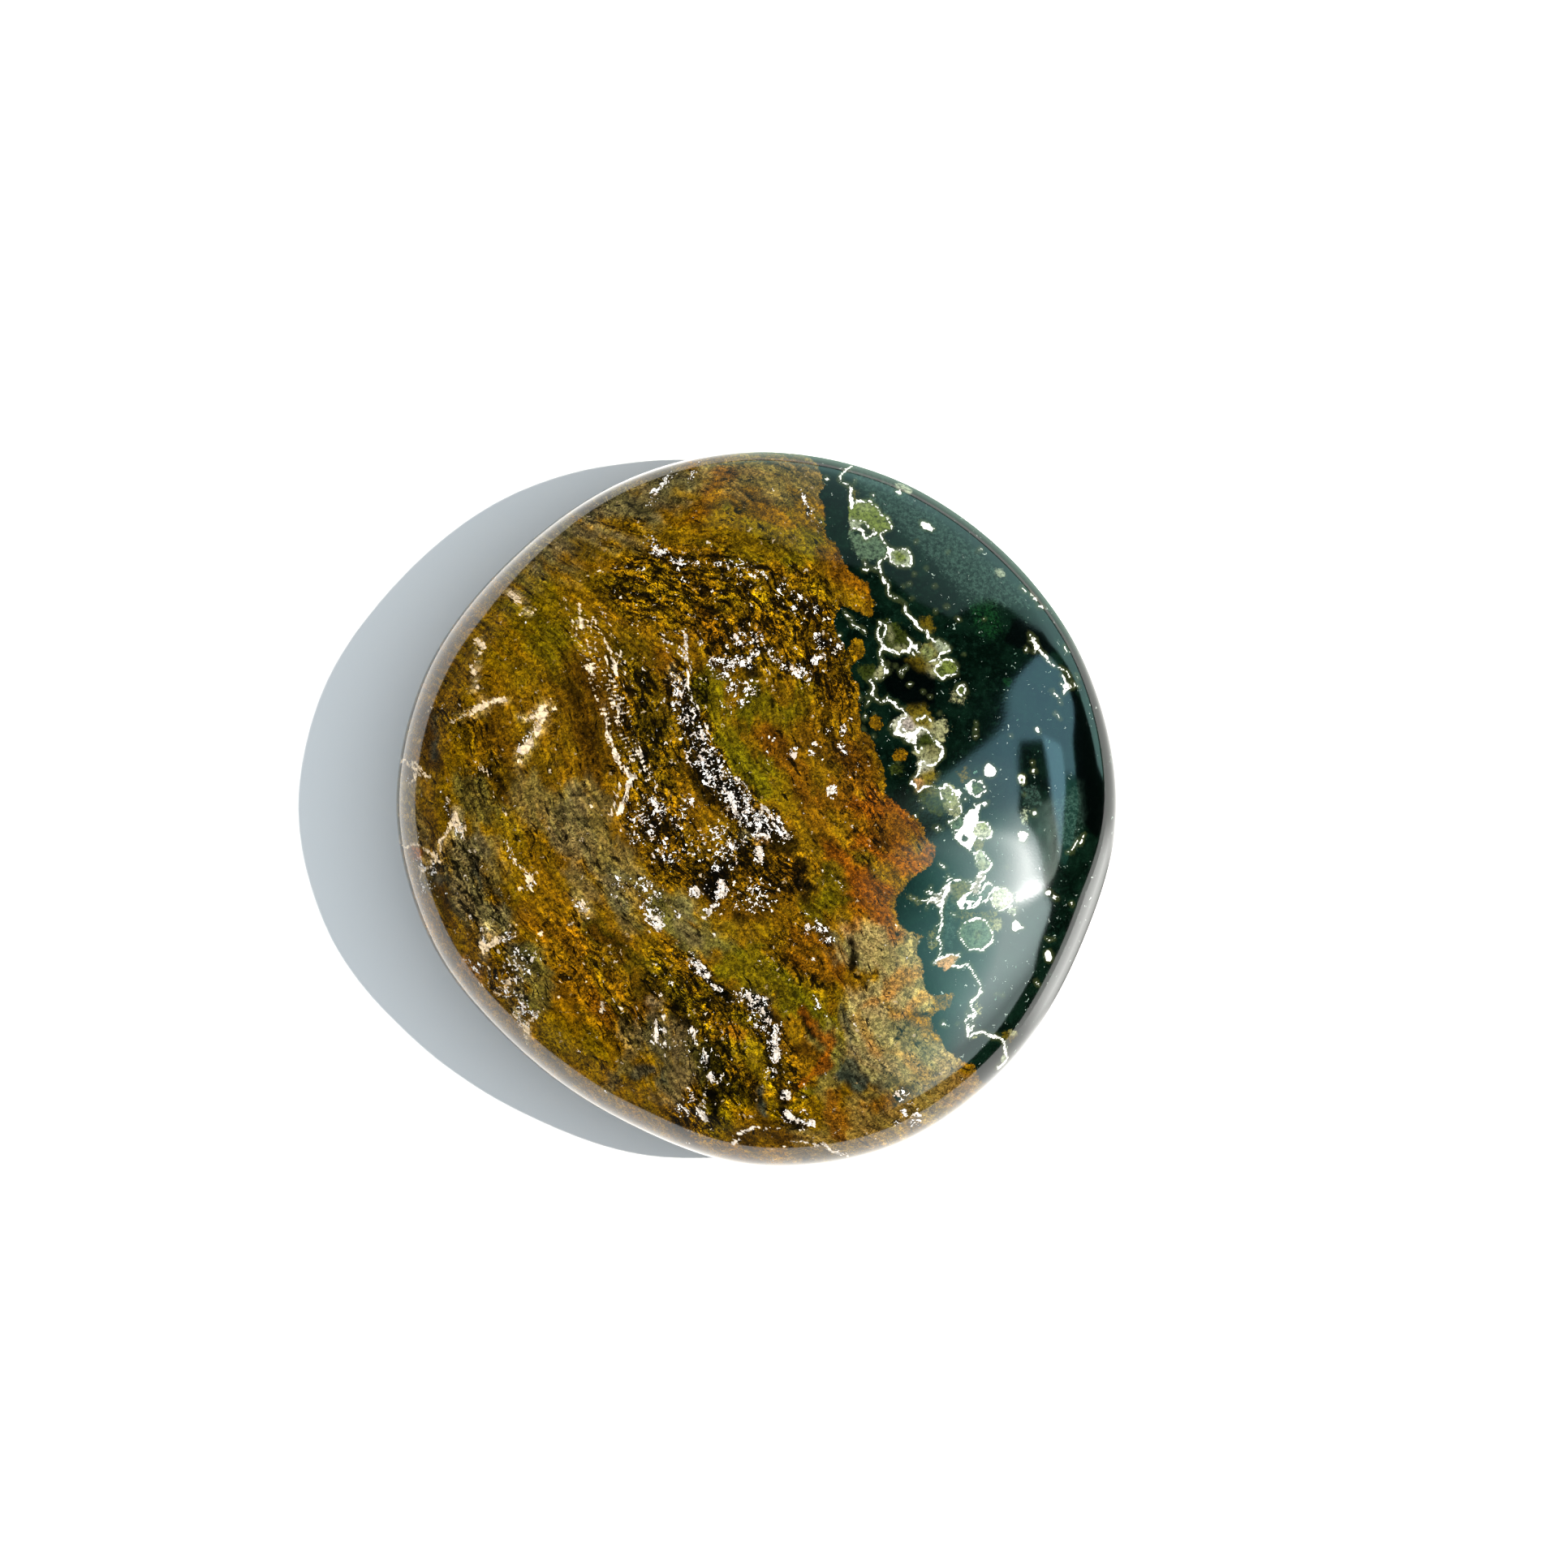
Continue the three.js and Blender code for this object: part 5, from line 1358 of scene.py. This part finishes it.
# The two rocks meet along an edge frayed by two tenths of a millimetre.
edge_shift = add(tree, "MapRange", {
    "Value": noises["frayed_edge"], "From Min": 0.25, "From Max": 0.75,
    "To Min": -0.22, "To Max": 0.22,
})
green_share = add(tree, "MapRange", {
    "Value": add(tree, "Math", {0: green_depth_mm, 1: edge_shift}),
    "From Min": -0.05, "From Max": 0.06,
}, interpolation_type="SMOOTHSTEP")
both = add(tree, "Mix", {0: green_share, 6: rock_body, 7: green_body}, data_type="RGBA")

# The fills, the orbs' hearts with the painted rim haze among them, are cloudy, and their edges
# wander with the same clouds.
heart_and_haze_gain = add(tree, "MapRange", {
    "Value": noises["heart_and_haze_clouds"], "From Min": 0.38, "From Max": 0.62, "To Min": 0.22, "To Max": 1.7,
})
heart_and_haze = add(tree, "VectorMath", {
    0: add(tree, "Attribute", {}, attribute_name="fill_colour"), "Scale": heart_and_haze_gain,
}, operation="SCALE")
heart_and_haze_cover = add(tree, "MapRange", {
    "Value": add(tree, "Math", {0: noises["heart_and_haze_clouds"], 1: 1.7, 2: heart_and_haze_share}, operation="MULTIPLY_ADD"),
    "From Min": 1.05, "From Max": 1.55, "To Max": 0.97,
}, interpolation_type="SMOOTHSTEP")
filled = add(tree, "Mix", {0: heart_and_haze_cover, 6: both, 7: heart_and_haze}, data_type="RGBA")

# The white chalcedony has crisp edges in the green rock, where a milky fringe lies beside it, and
# crumbling ones in the brown rock, where it is stained, most of all towards the left.
broken = add(tree, "Mix", {0: green_share, 2: noises["fibres"], 3: noises["crumble"]})
crumble_mm = add(tree, "MapRange", {"Value": green_share, "To Min": 1.05, "To Max": 0.35})
white_edge_mm = add(tree, "Math", {
    0: add(tree, "Math", {0: broken, 1: 0.42}, operation="SUBTRACT"), 1: crumble_mm, 2: white_gap_mm,
}, operation="MULTIPLY_ADD")
white_cover = add(tree, "MapRange", {
    "Value": white_edge_mm, "From Min": 0.03, "From Max": -0.03,
}, interpolation_type="SMOOTHSTEP")
milky = add(tree, "MapRange", {
    "Value": white_edge_mm, "From Min": 0.32, "From Max": 0.0, "To Max": 0.34,
}, interpolation_type="SMOOTHSTEP")
fringe_share = add(tree, "Math", {0: milky, 1: green_share}, operation="MULTIPLY")
fringed = add(tree, "Mix", {0: fringe_share, 6: filled, 7: rgba("#66703f")}, data_type="RGBA")
leftness = add(tree, "MapRange", {
    "Value": add(tree, "SeparateXYZ", {0: in_mm}), "From Min": -8.0, "From Max": -16.0,
})
tint = add(tree, "Mix", {
    0: leftness, 6: (1.5, 1.3, 1.08, 1), 7: (1.65, 1.25, 0.78, 1),
}, data_type="RGBA")
stain_gain = add(tree, "MapRange", {
    "Value": noises["salt"], "From Min": 0.38, "From Max": 0.58, "To Min": 0.35, "To Max": 1.1,
})
stained_white = add(tree, "VectorMath", {0: tint, "Scale": stain_gain}, operation="SCALE")
white_rock = add(tree, "Mix", {
    0: green_share, 6: stained_white, 7: (1.9, 1.9, 1.75, 1),
}, data_type="RGBA")
seen_colour = add(tree, "Mix", {0: white_cover, 6: fringed, 7: white_rock}, data_type="RGBA")

# The colours above are as they look in full sun, which is brighter than their share of light
# sent back, so all are brought down together.
sun_share = 0.335
surface_colour = add(tree, "VectorMath", {0: seen_colour, "Scale": sun_share}, operation="SCALE")
relief = add(tree, "Bump", {"Strength": 0.05, "Distance": 0.00003, "Height": noises["crumble"]})
shader = add(tree, "BsdfPrincipled", {
    "Base Color": surface_colour, "Roughness": 0.06, "IOR": 1.54, "Normal": relief,
    "Coat Weight": 0.05, "Coat Roughness": 0.22, "Coat IOR": 1.5,
})
add(tree, "OutputMaterial", {"Surface": shader})
stone_mesh.materials.append(jasper)

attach(stone, "root")
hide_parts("stone")


# ---------------------------------------------------------------------------------------------
# The table: one sheet of matt white board, wide enough to run out of every view.
# It is smooth, unpolished card, so it shows the stone's shadow and hardly a reflection.
# ---------------------------------------------------------------------------------------------
def flat_piece(name, corners, faces, material):
    """One flat mesh object of one material, from its corners in metres."""
    mesh = bpy.data.meshes.new(name)
    mesh.from_pydata(corners, [], faces)
    mesh.materials.append(material)
    piece = bpy.data.objects.new(name, mesh)
    bpy.context.scene.collection.objects.link(piece)
    return piece


table_half_m = 3.0
board = bpy.data.materials.new("matt_white_board")
board.use_nodes = True
board_shader = board.node_tree.nodes["Principled BSDF"]
board_shader.inputs["Base Color"].default_value = rgba("#f4f3f1")
board_shader.inputs["Roughness"].default_value = 0.85
board_shader.inputs["Specular IOR Level"].default_value = 0.15
table_corners = [
    (x * table_half_m, y * table_half_m, 0) for x, y in ((-1, -1), (1, -1), (1, 1), (-1, 1))
]
white_board = flat_piece("white_board", table_corners, [(0, 1, 2, 3)], board)


# ---------------------------------------------------------------------------------------------
# Sun and sky. A sun from the right and a soft sky overhead light the scene. The polish doesn't
# mirror them, because the pieces below stand for what it mirrors.
# ---------------------------------------------------------------------------------------------
def sun(name, azimuth, elevation, strength, colour, spread_degrees):
    """A sun lamp that shines from an azimuth (from +X towards +Y) and an elevation, in degrees."""
    data = bpy.data.lights.new(name, "SUN")
    data.energy = strength
    data.color = colour
    data.angle = math.radians(spread_degrees)
    lamp = bpy.data.objects.new(name, data)
    lamp.rotation_euler = (0, math.radians(90 - elevation), math.radians(azimuth))
    lamp.visible_glossy = False
    bpy.context.scene.collection.objects.link(lamp)


sun("sun", azimuth=0.5, elevation=52, strength=8.6, colour=(1.0, 0.965, 0.91), spread_degrees=1.0)
sun("soft_sky", azimuth=40, elevation=84, strength=2.33, colour=(0.83, 0.92, 1.0), spread_degrees=90)


# ---------------------------------------------------------------------------------------------
# What the polish mirrors overhead: a cool window to the right with a dark gap, brighter lower
# panes and sunlit leaves, and a pale wall. They hang flat, one metre up, and light nothing.
# ---------------------------------------------------------------------------------------------
def mirrored_only(piece):
    """Hides a piece from all but reflections."""
    piece.visible_camera = False
    piece.visible_diffuse = False
    piece.visible_shadow = False


# For each card: its colour high up and low down, where its glow starts and ends, how much of the
# glow comes through leaves, and its corners in metres towards +X and +Y of the stone.
card_height_m = 1.0
card_drop_m = 0.002
soft_cards = [
    ("window", (1.1, 2.25, 2.75), (5.8, 7.4, 7.2), 0.10, 0.60, 0.0, [
        (1.34, 0.80), (0.94, 0.52), (0.70, 0.34), (0.56, 0.23), (0.43, 0.15), (0.21, -0.02),
        (0.0, -0.1), (0.25, -0.9), (0.47, -2.12), (0.90, -2.10), (1.2, -2.05), (1.92, -2.10),
        (2.2, -1.62), (2.48, -1.30), (2.0, -0.95), (1.50, -0.59), (1.17, -0.42), (1.02, -0.32),
        (0.86, -0.17), (0.75, -0.09), (0.63, 0.01), (0.60, 0.04), (0.60, 0.10), (0.65, 0.20),
        (0.91, 0.26), (0.91, 0.16), (0.95, 0.09), (1.02, -0.01), (1.15, -0.16), (1.28, -0.25),
        (1.26, -0.18), (1.23, -0.05), (1.20, 0.09), (1.28, 0.19), (1.64, 0.23), (1.73, 0.40),
        (1.99, 0.64), (2.11, 0.79), (2.02, 0.89), (1.77, 0.92), (1.49, 0.88),
    ]),
    ("window_gap", (0.2, 0.9, 0.7), (0.2, 0.9, 0.7), 0.0, 0.1, 1.0, [
        (1.28, 0.19), (1.64, 0.23), (1.75, 0.0), (1.6, -0.35), (1.28, -0.25), (1.23, -0.05),
        (1.20, 0.09),
    ]),
    ("bright_pane", (2.0, 4.1, 5.0), (2.6, 4.3, 4.9), 0.0, 0.1, 0.0, [
        (0.93, 0.29), (1.30, 0.30), (1.24, 0.10), (1.22, -0.02), (1.26, -0.19), (1.16, -0.16),
        (1.05, -0.02), (0.96, 0.12),
    ]),
    ("sunlit_leaves", (1.3, 2.0, 1.6), (3.6, 4.6, 3.9), 0.55, 1.0, 1.0, [
        (0.62, 0.03), (0.75, -0.09), (0.86, -0.17), (1.02, -0.32), (1.2, -0.34), (1.28, -0.25),
        (1.15, -0.16), (1.02, -0.01), (0.96, 0.07), (0.8, 0.06),
    ]),
    ("pale_wall", (1.25, 2.3, 2.2), (1.25, 2.3, 2.2), -0.1, 3.2, 0.0, [
        (1.02, 0.95), (1.35, 1.06), (1.85, 1.28), (1.97, 1.20), (2.41, 1.23), (3.21, 1.28),
        (3.47, 1.12), (4.08, 0.96), (4.95, 0.72), (20.0, 1.8), (20.0, 6.5), (12.0, 20.0),
        (-4.0, 20.0), (-0.2, 0.9), (0.23, 0.60), (0.53, 0.53),
    ]),
]
for index, (name, high_glow, low_glow, glow_start, glow_end, dapple, outline) in enumerate(soft_cards):
    glow, tree = bare_material(name + "_glow")
    place = add(tree, "TexCoord", {}).outputs["Object"]
    up_card = add(tree, "SeparateXYZ", {0: place}).outputs[1]
    # The glow grows from nothing with x + 0.35 y, and fades as y falls below -0.5.
    glow_share = add(tree, "MapRange", {
        "Value": add(tree, "VectorMath", {0: place, 1: (1.0, 0.35, 0.0)}, operation="DOT_PRODUCT"),
        "From Min": glow_start, "From Max": glow_end,
    })
    near_share = add(tree, "MapRange", {
        "Value": up_card, "From Min": -1.1, "From Max": -0.5, "To Min": 0.4,
    })
    # The colour goes from high to low as y falls past zero, and is greener where it is dim.
    low_share = add(tree, "MapRange", {
        "Value": up_card, "From Min": 0.15, "From Max": -0.12,
    }, interpolation_type="SMOOTHSTEP")
    low_colour = add(tree, "Mix", {
        0: glow_share, 6: (low_glow[0] * 0.3, low_glow[1], low_glow[2] * 0.95, 1), 7: (*low_glow, 1),
    }, data_type="RGBA", clamp_result=False)
    glow_colour = add(tree, "Mix", {
        0: low_share, 6: (*high_glow, 1), 7: low_colour,
    }, data_type="RGBA", clamp_result=False)
    # The leaves are a noise drawn out along x, because the rim squeezes what it mirrors.
    leaf_place = add(tree, "VectorMath", {0: place, 1: (16.0, 110.0, 0.0)}, operation="MULTIPLY")
    leaves = add(tree, "MapRange", {
        "Value": add(tree, "TexNoise", {
            "Vector": leaf_place, "Scale": 1.0, "Detail": 3.0, "Roughness": 0.8,
        }),
        "From Min": 0.42, "From Max": 0.64, "To Min": 1.0 - dapple, "To Max": 1.0 + 0.9 * dapple,
    })
    glow_share = add(tree, "Math", {0: glow_share, 1: near_share}, operation="MULTIPLY")
    strength = add(tree, "Math", {0: glow_share, 1: leaves}, operation="MULTIPLY")
    emitter = add(tree, "Emission", {"Color": glow_colour, "Strength": strength})
    add(tree, "OutputMaterial", {"Surface": emitter})
    # Each card hangs a little below the one before, and covers it.
    height = card_height_m - card_drop_m * index
    card_corners = [(x, y, height) for x, y in outline]
    card = flat_piece(name, card_corners, [tuple(range(len(outline)))], glow)
    mirrored_only(card)


# ---------------------------------------------------------------------------------------------
# The sun's own image in the polish: a hot spot just under the window that fades into a wide,
# see-through halo, and a fainter one beside it. Each is a flat ellipse just below the cards.
# ---------------------------------------------------------------------------------------------
glare_corners = 24
glare_turn_degrees = -18
# The wider one hangs lower, by glare_drop of its half width.
glare_height_m = 0.97
glare_drop = 0.02
for name, middle, half_widths, strength in (
    ("glare", (0.82, -0.27), (0.52, 0.075), 62.0),
    ("glare_beside", (0.68, -0.17), (0.80, 0.13), 16.0),
):
    halo, tree = bare_material(name + "_glow")
    out = add(tree, "VectorMath", {
        0: add(tree, "VectorMath", {
            0: add(tree, "TexCoord", {}).outputs["Object"],
            1: (1 / half_widths[0], 1 / half_widths[1], 0),
        }, operation="MULTIPLY"),
    }, operation="LENGTH")
    halo_share = add(tree, "MapRange", {"Value": out, "From Min": 1.0, "From Max": 0.0})
    halo_power = add(tree, "Math", {0: halo_share, 1: 4.0}, operation="POWER")
    halo_strength = add(tree, "Math", {0: halo_power, 1: strength}, operation="MULTIPLY")
    halo_light = add(tree, "AddShader", {
        0: add(tree, "Emission", {"Color": (1.0, 0.98, 0.95, 1), "Strength": halo_strength}),
        1: add(tree, "BsdfTransparent", {}),
    })
    add(tree, "OutputMaterial", {"Surface": halo_light})
    turns = np.arange(glare_corners) / glare_corners * 2 * math.pi
    glare_rim = [(half_widths[0] * math.cos(turn), half_widths[1] * math.sin(turn), 0) for turn in turns]
    glare = flat_piece(name, glare_rim, [tuple(range(glare_corners))], halo)
    glare.location = (*middle, glare_height_m - glare_drop * half_widths[0])
    glare.rotation_euler = (0, 0, math.radians(glare_turn_degrees))
    mirrored_only(glare)


# ---------------------------------------------------------------------------------------------
# Uneven light on the board. The polished rim throws the sun down on it to the right, and it is
# greener and dimmer beside the green rock. Thin fans on the board stand for it in the rim alone.
# ---------------------------------------------------------------------------------------------
fan_start_m, fan_end_m, fan_height_m = 0.034, 0.11, 0.0004
fan_near_m, fan_far_m = 0.0345, 0.0490
fan_pieces = 30
# For each fan: its two ends and how far it fades in, in degrees from +X towards +Y, and its light
# at fan_near_m from the middle and from fan_far_m outwards.
board_fans = [
    ("sun_off_the_rim", -40, -2, 10, (0.3, 0.3, 0.28), (5.4, 5.4, 5.2)),
    ("green_off_the_rim", 20, 100, 14, (0.5, 0.75, 0.6), (1.4, 2.0, 1.7)),
]
for name, first_turn, last_turn, fade, light_near, light_far in board_fans:
    fan_glow, tree = bare_material(name + "_glow")
    place = add(tree, "TexCoord", {}).outputs["Object"]
    sides = add(tree, "SeparateXYZ", {0: place})
    bearing = add(tree, "Math", {0: sides.outputs[1], 1: sides.outputs[0]}, operation="ARCTAN2")
    fan_out = add(tree, "MapRange", {
        "Value": add(tree, "VectorMath", {0: place}, operation="LENGTH"),
        "From Min": fan_near_m, "From Max": fan_far_m,
    })
    fade_in, fade_out = (
        add(tree, "MapRange", {
            "Value": bearing, "From Min": math.radians(end), "From Max": math.radians(end + inward),
        }, interpolation_type="SMOOTHSTEP")
        for end, inward in ((first_turn, fade), (last_turn, -fade))
    )
    fan_colour = add(tree, "Mix", {
        0: fan_out, 6: (*light_near, 1), 7: (*light_far, 1),
    }, data_type="RGBA", clamp_result=False)
    fan_light = add(tree, "MixShader", {
        0: add(tree, "Math", {0: fade_in, 1: fade_out}, operation="MULTIPLY"),
        1: add(tree, "BsdfTransparent", {}),
        2: add(tree, "Emission", {"Color": fan_colour}),
    })
    add(tree, "OutputMaterial", {"Surface": fan_light})
    fan_corners = [
        (reach * math.cos(turn), reach * math.sin(turn), fan_height_m)
        for turn in np.radians(np.linspace(first_turn, last_turn, fan_pieces + 1))
        for reach in (fan_start_m, fan_end_m)
    ]
    fan_faces = [(2 * i, 2 * i + 1, 2 * i + 3, 2 * i + 2) for i in range(fan_pieces)]
    fan = flat_piece(name, fan_corners, fan_faces, fan_glow)
    mirrored_only(fan)


# ---------------------------------------------------------------------------------------------
# The room. The camera sees plain pale grey past the board, and the polish mirrors a dim room that
# is a little brighter near the table on the left.
# ---------------------------------------------------------------------------------------------
world = bpy.data.worlds.new("dim_room")
world.use_nodes = True
room = world.node_tree
room.nodes.clear()
room_way = add(room, "SeparateXYZ", {0: add(room, "TexCoord", {}).outputs["Generated"]})
room_height = room_way.outputs[2]
room_share, low_share, left_share = (
    add(room, "MapRange", {
        "Value": way, "From Min": start, "From Max": end, "To Min": least,
    }, interpolation_type="SMOOTHSTEP")
    for way, start, end, least in (
        (room_height, 0.60, 0.25, 0.0),
        (room_height, 0.15, 0.5, 0.3),
        (room_way.outputs[0], 0.30, -0.25, 0.0),
    )
)
room_share = add(room, "Math", {0: room_share, 1: left_share}, operation="MULTIPLY")
room_glow = add(room, "Mix", {
    0: add(room, "Math", {0: room_share, 1: low_share}, operation="MULTIPLY"),
    6: (0.0, 0.01, 0.01, 1), 7: (0.15, 0.17, 0.18, 1),
}, data_type="RGBA")
room_colour = add(room, "Mix", {
    0: add(room, "LightPath", {}).outputs["Is Camera Ray"], 6: room_glow, 7: (0.95, 0.95, 0.95, 1),
}, data_type="RGBA")
room_light = add(room, "Background", {"Color": room_colour, "Strength": 1.0})
add(room, "OutputWorld", {"Surface": room_light})
bpy.context.scene.world = world
bpy.context.scene.view_settings.view_transform = "Standard"
bpy.context.scene.view_settings.look = "None"
